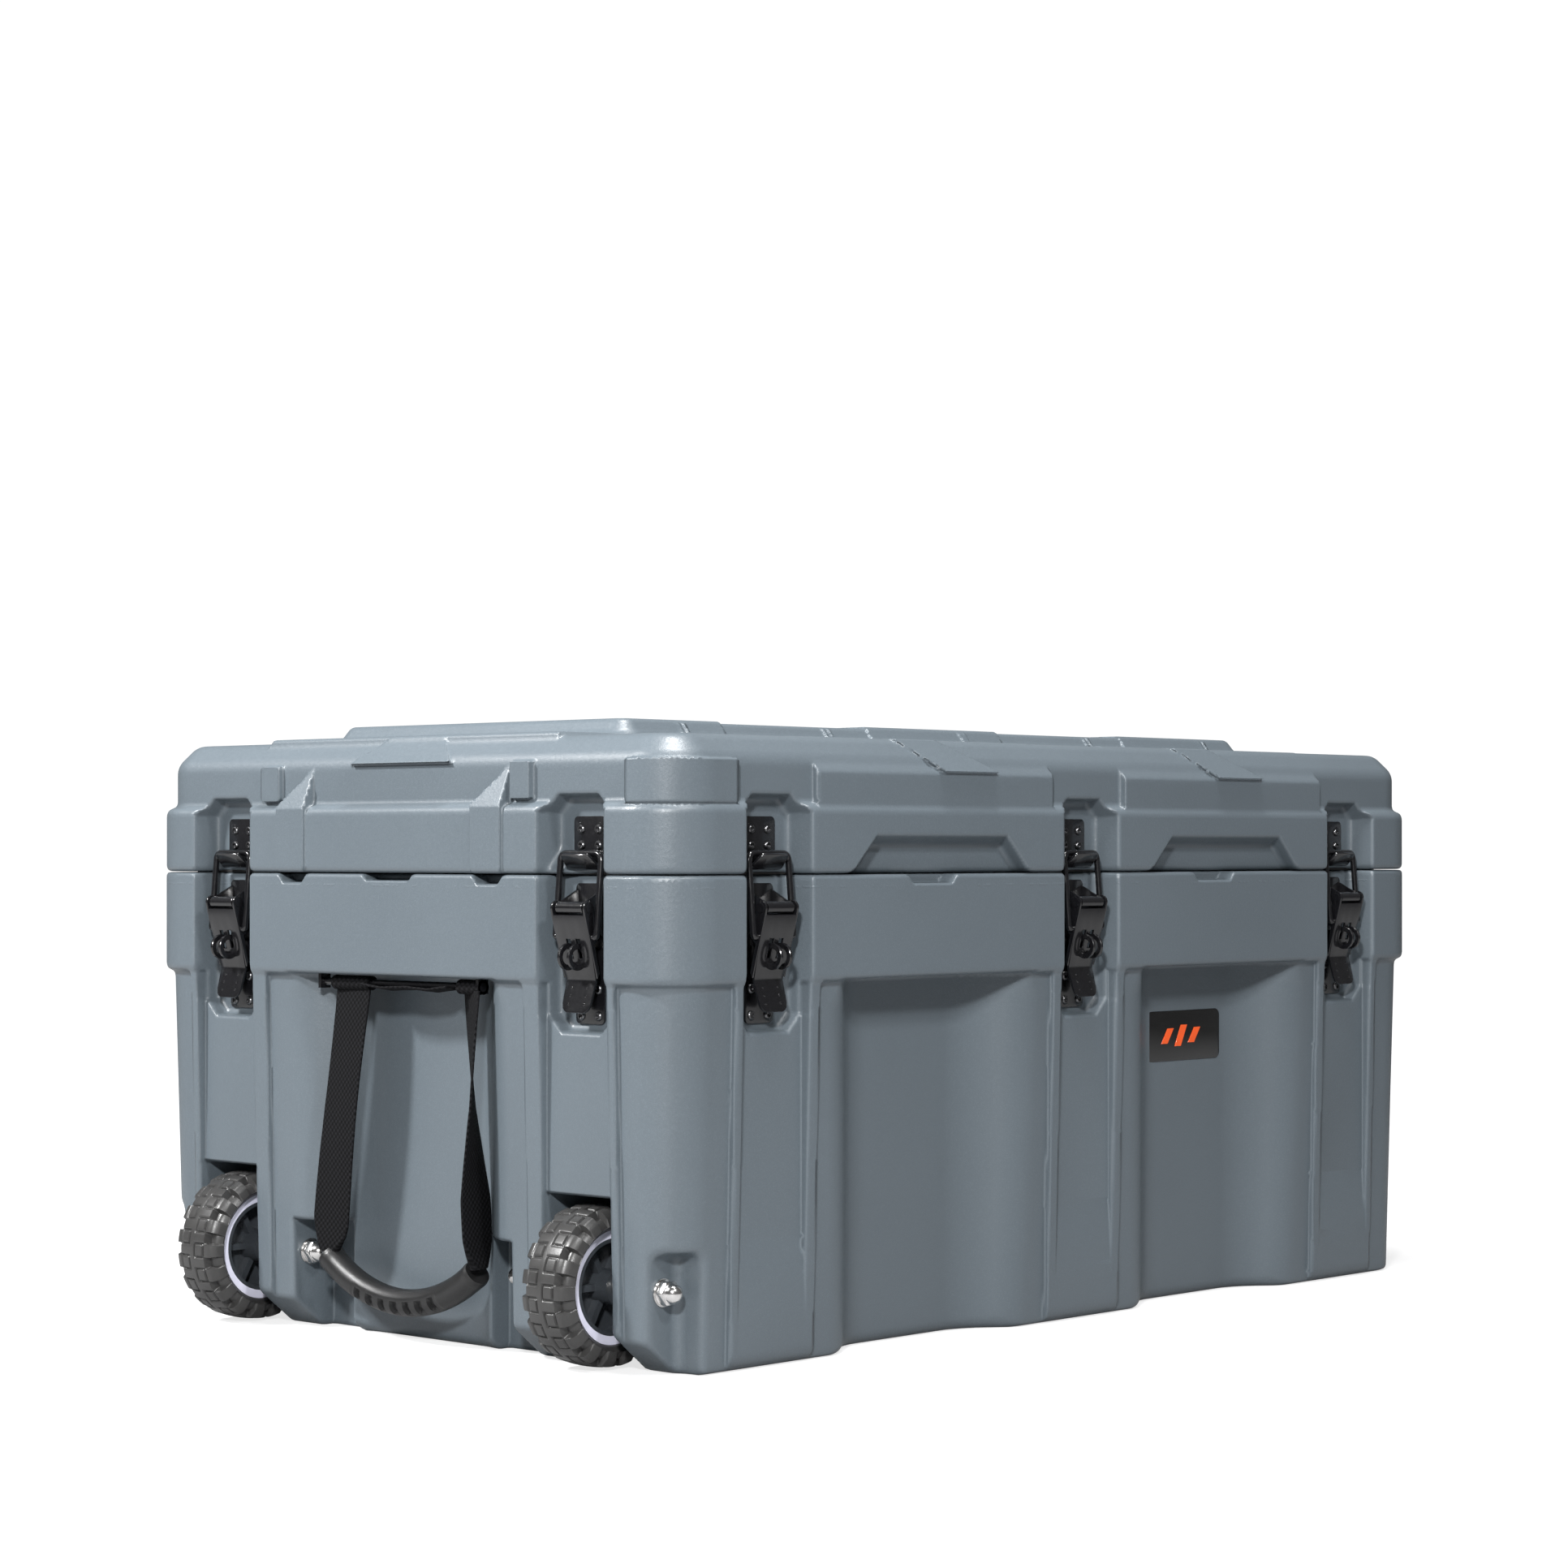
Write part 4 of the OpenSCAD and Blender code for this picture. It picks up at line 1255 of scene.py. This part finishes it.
@dataclass
class Wheel:
    """A knobbly wheel that turns about Y."""

    axle: tuple[float, float, float]
    side: str
    radius: float = 60.0
    half: float = 25.0
    bead: float = 42.0
    blocks: int = 18
    turns: int = 504
    rows: int = 60

    def tread(self, turn: Array, across: Array) -> Array:
        """Gives the tyre's radius.

        Args:
            turn: angle round the tyre, in blocks.
            across: distance from the middle of the tread.

        Returns:
            The radius at each place.
        """
        w = np.abs(across)
        crown = self.radius - 0.0042 * w ** 2 - np.maximum(w - 18, 0) ** 2 * 0.14
        phase = (turn + 0.5 * (across > 0)) % 1.0 - 0.5
        pitch = 2 * math.pi * self.radius / self.blocks
        box = np.maximum(np.abs(phase) * pitch - 5.6, np.abs(w - 8.2) - 5.0)
        groove = np.clip(1.2 - np.abs(box), 0, 0.6) / 0.6
        gap = np.clip((np.abs(phase) * pitch - 5.4) / 0.9, 0, 1) * np.clip((w - 14.6) / 1.0, 0, 1)
        return crown - 1.6 * groove - 5.6 * gap

    def tyre(self) -> Shape:
        """Returns the tyre about the Z axis."""
        turn = np.linspace(0, self.blocks, self.turns, endpoint=False)[:, None]
        across = np.linspace(-self.half + 1, self.half - 1, self.rows)[None, :]
        r = self.tread(turn, across)
        wall = [(self.radius - 13, 1), (self.bead + 5, 0), (self.bead + 1.2, -3), (self.bead + 0.5, -7.5)]
        column = np.ones((self.turns, 1))
        radii = [column * rad for rad, _ in wall]
        places = [column * (self.half - 1 + out) for _, out in wall]
        r_all = np.hstack([*radii[::-1], r, *radii])
        w_all = np.hstack([*[-w for w in places[::-1]], np.repeat(across, self.turns, 0), *places])
        angle = turn * 2 * math.pi / self.blocks
        verts = np.stack([r_all * np.cos(angle), r_all * np.sin(angle), w_all], 2)
        n = r_all.shape[1]
        faces = []
        for i in range(self.turns):
            j = (i + 1) % self.turns
            faces += [(i * n + k, j * n + k, j * n + (k + 1) % n, i * n + (k + 1) % n) for k in range(n)]
        return Shape(verts.reshape(-1, 3), faces)

    def build(self, bench: Bench) -> None:
        """Makes the tyre."""
        tyre = along_y(self.tyre()).moved(*self.axle)
        body = f"wheel_{self.side}"
        bench.put(f"knobbly_tyre_{self.side}", tyre, body, "tyre", Finish.TYRE, [f"tyre_{self.side}"], 50)


@dataclass
class AxleNuts:
    """The four domed nuts on the two axles."""

    wheels: Sequence[Wheel]
    seats: tuple[float, float]

    def nut(self) -> Shape:
        """Returns a domed nut that stands out along -Y."""
        body = prism(circle(9.8, 6), 0.8, 8).rounded(0.7, 2)
        dome = [(7.6 * math.cos(a), 9 + 7.6 * math.sin(a)) for a in np.linspace(0, 1.5, 9)]
        cap = lathe([(0.02, 6), (8.2, 6), (8.2, 8.2), (7.6, 8.8), *dome, (0.02, 16.6)], 32)
        flange = lathe([(5.2, 0), (9.6, 0), (9.6, 1.2), (8.8, 1.8), (5.2, 1.8)], 32)
        return along_y(joined([body, cap, flange]))

    def build(self, bench: Bench) -> None:
        """Makes the nuts, one each side of each wheel."""
        made = []
        for wheel in self.wheels:
            x, y, z = wheel.axle
            outwards = math.copysign(1, y)
            for seat, way in ((self.seats[0], outwards), (self.seats[1], -outwards)):
                turn = Matrix.Rotation(math.pi if way > 0 else 0.0, 4, "Z")
                made.append(self.nut().turned(turn).moved(x, outwards * seat, z))
        bench.put("domed_nuts", joined(made), "root", "stainless", Finish.DOME_NUT, ["axle_nuts"], 40)


# ---------- handles ----------


@dataclass
class Handle:
    """A webbing handle with a moulded grip, at the wheel end or turned half round for the far end."""

    end: str
    bar_x: float
    bar_z: float
    drop: float = 212.0
    width: float = 43.0
    thick: float = 1.9
    grip_r: float = 11.0
    sag: float = 30.0
    tops: Point = (54.0, -83.0)
    ends: Point = (81.0, -87.0)
    slots: int = 7
    slots_at: float = 210.0
    framed: float = 0.27
    frame_half: float = 0.82
    slot_half: float = 0.62

    def ribbon(self, path: Array, twist: Callable[[float], float], size: Callable[[float], Point]) -> Shape:
        """Runs webbing along a path.

        Args:
            path: the points of its middle line.
            twist: degrees that its flat side is turned, at a share of its length.
            size: its width and thickness, at a share of its length.

        Returns:
            The webbing.
        """
        def ring(share: float) -> Array:
            """Returns the webbing's outline, with round edges."""
            width, thick = size(share)
            flat = np.array(plate_outline(width / 2, thick / 2, thick * 0.45, 2))
            a = math.radians(twist(share))
            ripple = 0.25 * math.sin(share * 37) * np.cos(flat[:, 0] / width * 3)
            flat[:, 1] += ripple
            return flat @ np.array([[math.cos(a), math.sin(a)], [-math.sin(a), math.cos(a)]])

        return swept(path, ring, (0, 1, 0))

    def leg(self, top: float, low: float, bow: float, twist: Callable[[float], float]) -> Shape:
        """Returns one hanging leg, gathered where it enters the grip.

        Args:
            top: its place along the bar.
            low: its place at the grip.
            bow: how far its middle stands out of the wall.
            twist: degrees that it is turned, at a share of its length.
        """
        t = np.linspace(0, 1, 60)
        y = top + (low - top) * t ** 1.25
        x = -bow * np.sin(t * math.pi) - 2 * t
        path = np.stack([x, y, -3 - (self.drop - 2) * t], 1)

        def size(share: float) -> Point:
            """Returns the webbing's width and thickness."""
            fold = max(0.0, (share - 0.88) / 0.12) ** 1.4
            return self.width * (1 - 0.56 * fold), self.thick * (1 + 3.2 * fold)

        return self.ribbon(path, twist, size)

    def webbing(self) -> Shape:
        """Returns both legs, the turns round the bar and the stretch between them."""
        def turned_over(share: float) -> float:
            """Returns how far the narrow leg is turned: slowly at first, then over at half height."""
            return 28 + 19 * min(share / 0.42, 1) + 26 * min(max(share - 0.42, 0) / 0.33, 1)

        wide = self.leg(self.tops[0], self.ends[0] + 1, 4, lambda s: 4 + 3 * math.sin(s * 5))
        twisted = self.leg(self.tops[1], self.ends[1] - 6, 2, turned_over)
        loops = [
            along_y(lathe([(3.4, -h), (5.7, -h), (5.7, h), (3.4, h)], 24)).moved(0, y, 0)
            for y, h in ((self.tops[0], self.width / 2), (self.tops[1], self.width / 2 - 9))
        ]
        across = [(-5.8, 34, -1), (-6.2, 10, -3.5), (-5.8, -18, -2.2), (-6.2, -45, -3.5), (-5.8, -66, -1)]
        steps = np.linspace(0, 4, 36)
        path = np.stack([np.interp(steps, range(5), line) for line in zip(*across)], 1)
        bridge = self.ribbon(path, lambda s: 90, lambda s: (13.0, 1.9))
        return joined([wide, twisted, *loops, bridge])

    def grip(self) -> Shape:
        """Returns the curved grip, with a lip at each end and slots under its outer side."""
        half = (self.ends[0] - self.ends[1]) / 2 + 2
        middle = (self.ends[0] + self.ends[1]) / 2
        bend = (half ** 2 + self.sag ** 2) / (2 * self.sag)
        reach = math.asin(half / bend)
        turn = np.linspace(-reach, reach, 150)
        level = -self.drop - 4 - self.sag + bend
        path = np.stack([0 * turn, middle - bend * np.sin(turn), level - bend * np.cos(turn)], 1)
        sides = 40
        angles = np.arange(sides) * 2 * math.pi / sides

        def ring(share: float) -> Array:
            """Returns the grip's outline with a lip, a raised frame and the slots."""
            ends = min(share, 1 - share)
            r = np.full(sides, self.grip_r - 0.4 + 1.0 * math.exp(-((ends / 0.03) ** 2)))
            if ends < 0.012:
                r = r - 1.2
            frame_share = (share - 0.5) / self.framed
            down = np.abs((angles - math.radians(self.slots_at) + math.pi) % (2 * math.pi) - math.pi)
            inside = (abs(frame_share) < 1) & (down < self.frame_half)
            r = r - 0.5 * inside
            slot = (frame_share * 0.5 + 0.5) * self.slots
            open_here = abs(slot % 1 - 0.5) < 0.25 and abs(frame_share) < 1
            depth = np.clip((self.slot_half - down) / 0.16, 0, 1) * (3.2 if open_here else 0)
            r = np.minimum(r - depth, self.grip_r)
            return np.stack([np.cos(angles) * r, np.sin(angles) * r], 1)

        return swept(path, ring, (1, 0, 0))

    def build(self, bench: Bench) -> None:
        """Makes the handle."""
        turn = Matrix.Identity(4) if self.end == "wheel_end" else Matrix.Rotation(math.pi, 4, "Z")
        body = f"handle_{self.end}"
        place = {"x": self.bar_x, "z": self.bar_z}
        strap = self.webbing().moved(**place).turned(turn)
        grip = self.grip().moved(**place).turned(turn)
        bench.put(f"webbing_{self.end}", strap, body, "webbing", Finish.WEBBING, [f"strap_{self.end}"], 50)
        bench.put(f"moulded_grip_{self.end}", grip, body, "grip", Finish.GRIP, [f"grip_{self.end}"], 40)


# ---------- badge ----------


@dataclass
class Badge:
    """The gloss plate in the front pocket, with a plain emblem of slanted bars."""

    low: tuple[float, float, float]
    high: tuple[float, float, float]
    bars: int = 3
    slant: float = 9.0
    pitch: float = 19.0
    tall: float = 9.0

    def build(self, bench: Bench) -> None:
        """Makes the plate and its emblem."""
        middle = (np.array(self.low) + np.array(self.high)) / 2
        half = (np.array(self.high) - np.array(self.low)) / 2
        wall = self.high[1]
        plate = along_y(prism(plate_outline(half[0], half[2], 6, 8), 0, 2 * half[1] - 0.6)).rounded(0.7, 3)
        plate = plate.moved(middle[0], wall, middle[2])
        bench.put("badge_plate", plate, "root", "badge", Finish.BADGE, ["badge"])
        marks = []
        lean = self.slant / 2
        for k in range(self.bars):
            place = k - (self.bars - 1) / 2
            x = place * self.pitch
            height = self.tall - abs(place) * 2.5
            foot = [(x - 5 - lean, -height), (x + 4 - lean, -height)]
            head = [(x + 4 + lean, height), (x - 5 + lean, height)]
            marks.append(along_y(prism([*foot, *head], 0, 0.5)).rounded(0.15, 1))
        emblem = joined(marks).moved(middle[0], self.low[1] + 0.6, middle[2])
        bench.put("badge_emblem", emblem, "root", "badge", Finish.EMBLEM)


# ---------- studio ----------

# name, place, size, watts, the point it faces
LAMPS = (
    ("overhead", (-0.3, -0.5, 3.0), 0.7, 104, (0, 0, 0.3)),
    ("end_side", (-2.3, 1.2, 2.2), 0.35, 142, (-0.4, 0, 0.25)),
    ("front", (-0.9, -2.6, 2.6), 0.35, 50, (0, -0.3, 0.2)),
    ("corner", (-2.7, -2.0, 1.6), 0.25, 105, (-0.4, -0.3, 0.25)),
)


@dataclass
class Studio:
    """Plain floor, soft lights and the camera."""

    eye: tuple[float, float, float] = (-2.3014, -2.1053, 0.3842)
    heading: float = 47.2227
    lens: float = 82.4
    rise: float = 0.0406
    surround_seen: float = 1.05
    surround_cast: float = 0.13

    def camera(self) -> None:
        """Makes the camera."""
        data = bpy.data.cameras.new("camera")
        data.lens, data.sensor_width, data.shift_y = self.lens, 36.0, self.rise
        data.clip_end = 50
        camera = bpy.data.objects.new("camera", data)
        camera.location = self.eye
        camera.rotation_euler = (math.pi / 2, 0, -math.radians(self.heading))
        bpy.context.scene.collection.objects.link(camera)
        bpy.context.scene.camera = camera

    def light(
        self, name: str, place: Sequence[float], size: float, power: float, aim: Sequence[float]
    ) -> None:
        """Makes one soft light.

        Args:
            name: its name.
            place: where it is, in metres.
            size: the side of its square face.
            power: its strength in watts.
            aim: the point that it faces.
        """
        data = bpy.data.lights.new(name, "AREA")
        data.size, data.energy = size, power
        lamp = bpy.data.objects.new(name, data)
        lamp.location = place
        lamp.rotation_euler = (Vector(aim) - Vector(place)).to_track_quat("-Z", "Y").to_euler()
        bpy.context.scene.collection.objects.link(lamp)

    def floor(self) -> None:
        """Makes the pale floor, which is brighter to look at than it is as light."""
        half = 30.0
        mesh = bpy.data.meshes.new("floor")
        corners = [(-half, -half, 0), (half, -half, 0), (half, half, 0), (-half, half, 0)]
        mesh.from_pydata(corners, [], [(0, 1, 2, 3)])
        d = Dress("floor_pale")
        tone, x, y = d.noise(2), d.across("X"), d.across("Y")
        far = (x * x + y * y).above(4.5, 4.0)
        d.shader.inputs["Emission Strength"].default_value = 1.0
        seen = Wire(d, d.node("ShaderNodeLightPath", {}, {}).outputs["Is Camera Ray"])
        glow = d.blend(seen * (far * 0.28 + 0.72), (0.03, 0.03, 0.03), (1.0, 1.0, 1.0))
        colour = d.blend(tone, (0.30, 0.30, 0.303), (0.32, 0.32, 0.323))
        mesh.materials.append(d.coat(base_color=colour, roughness=0.8, emission_color=glow))
        floor = bpy.data.objects.new("floor", mesh)
        bpy.context.scene.collection.objects.link(floor)

    def world(self) -> None:
        """Makes the even surround: white to look at, softer as light."""
        world = bpy.data.worlds.new("studio")
        world.use_nodes = True
        tree = world.node_tree
        ground = tree.nodes["Background"]
        ground.inputs["Color"].default_value = (1, 1, 1, 1)
        path = tree.nodes.new("ShaderNodeLightPath")
        level = tree.nodes.new("ShaderNodeMapRange")
        level.inputs["To Min"].default_value = self.surround_cast
        level.inputs["To Max"].default_value = self.surround_seen
        tree.links.new(path.outputs["Is Camera Ray"], level.inputs["Value"])
        tree.links.new(level.outputs["Result"], ground.inputs["Strength"])
        bpy.context.scene.world = world
        bpy.context.scene.view_settings.view_transform = "Standard"

    def build(self) -> None:
        """Makes the whole set."""
        self.camera()
        self.floor()
        self.world()
        for lamp in LAMPS:
            self.light(*lamp)


def dress_node(name: str, finish: Finish) -> None:
    """Gives a piece that keeps its plain shape a finish.

    Args:
        name: the node's name.
        finish: what it is made of.
    """
    node = frame["nodes"][name]
    node.data.materials.clear()
    node.data.materials.append(finish.material())
    log.info("%s: dressed in %s", name, finish.value.name)


def span_of(names: Sequence[str]) -> tuple[Vector, Vector]:
    """Returns the lowest and highest corner of several nodes together, in millimetres."""
    boxes = [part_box(n) for n in names]
    low = Vector([min(b[0][k] for b in boxes) for k in range(3)])
    return low / MM, Vector([max(b[1][k] for b in boxes) for k in range(3)]) / MM


def main() -> None:
    """Builds the case, piece by piece, and the studio round it."""
    tub_low, tub_high = span_of(TUB_NODES)
    lid_low, _ = span_of(LID_NODES)
    shift = (tub_low.x + tub_high.x) / 2
    bench = Bench(shift)
    case = Case(tub_high.x - tub_low.x, tub_high.y - tub_low.y, tub_high.z)
    Studio().build()
    Tub(case).build(bench)
    Lid(case, lid_low.z - tub_high.z).build(bench)
    LatchSet(Latch(case.seam), frame["joints"], shift).build(bench)
    wheels = []
    for side in ("left", "right"):
        low, high = (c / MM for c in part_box(f"tyre_{side}"))
        middle = (low + high) / 2
        wheels.append(Wheel((middle.x - shift, middle.y, middle.z), side, (high.z - low.z) / 2))
        wheels[-1].build(bench)
    _, seat = (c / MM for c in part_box("axle_washers"))
    AxleNuts(wheels, (seat.y, case.latch_b - case.niche_wall - INNER_NUT_GAP)).build(bench)
    swing = next(j for j in frame["joints"] if j["name"] == "handle_wheel_end_swing")
    for end in ("wheel_end", "far_end"):
        Handle(end, swing["pos_m"][0] / MM - shift, swing["pos_m"][2] / MM).build(bench)
    low, high = (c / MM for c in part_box("badge"))
    Badge((low.x - shift, low.y, low.z), (high.x - shift, high.y, high.z)).build(bench)
    for side in ("left", "right"):
        dress_node(f"hub_{side}", Finish.HUB)
        dress_node(f"hub_trim_{side}", Finish.TRIM)
    for name in ("axle_bolts", "axle_washers", "axle_spacers"):
        dress_node(name, Finish.DOME_NUT)
    dress_node("latch_pins", Finish.BLACK_STEEL)
    dress_node("strap_anchors", Finish.BLACK_STEEL)
    dress_node("lid_gasket", Finish.GASKET)


if __name__ == "__main__":
    main()
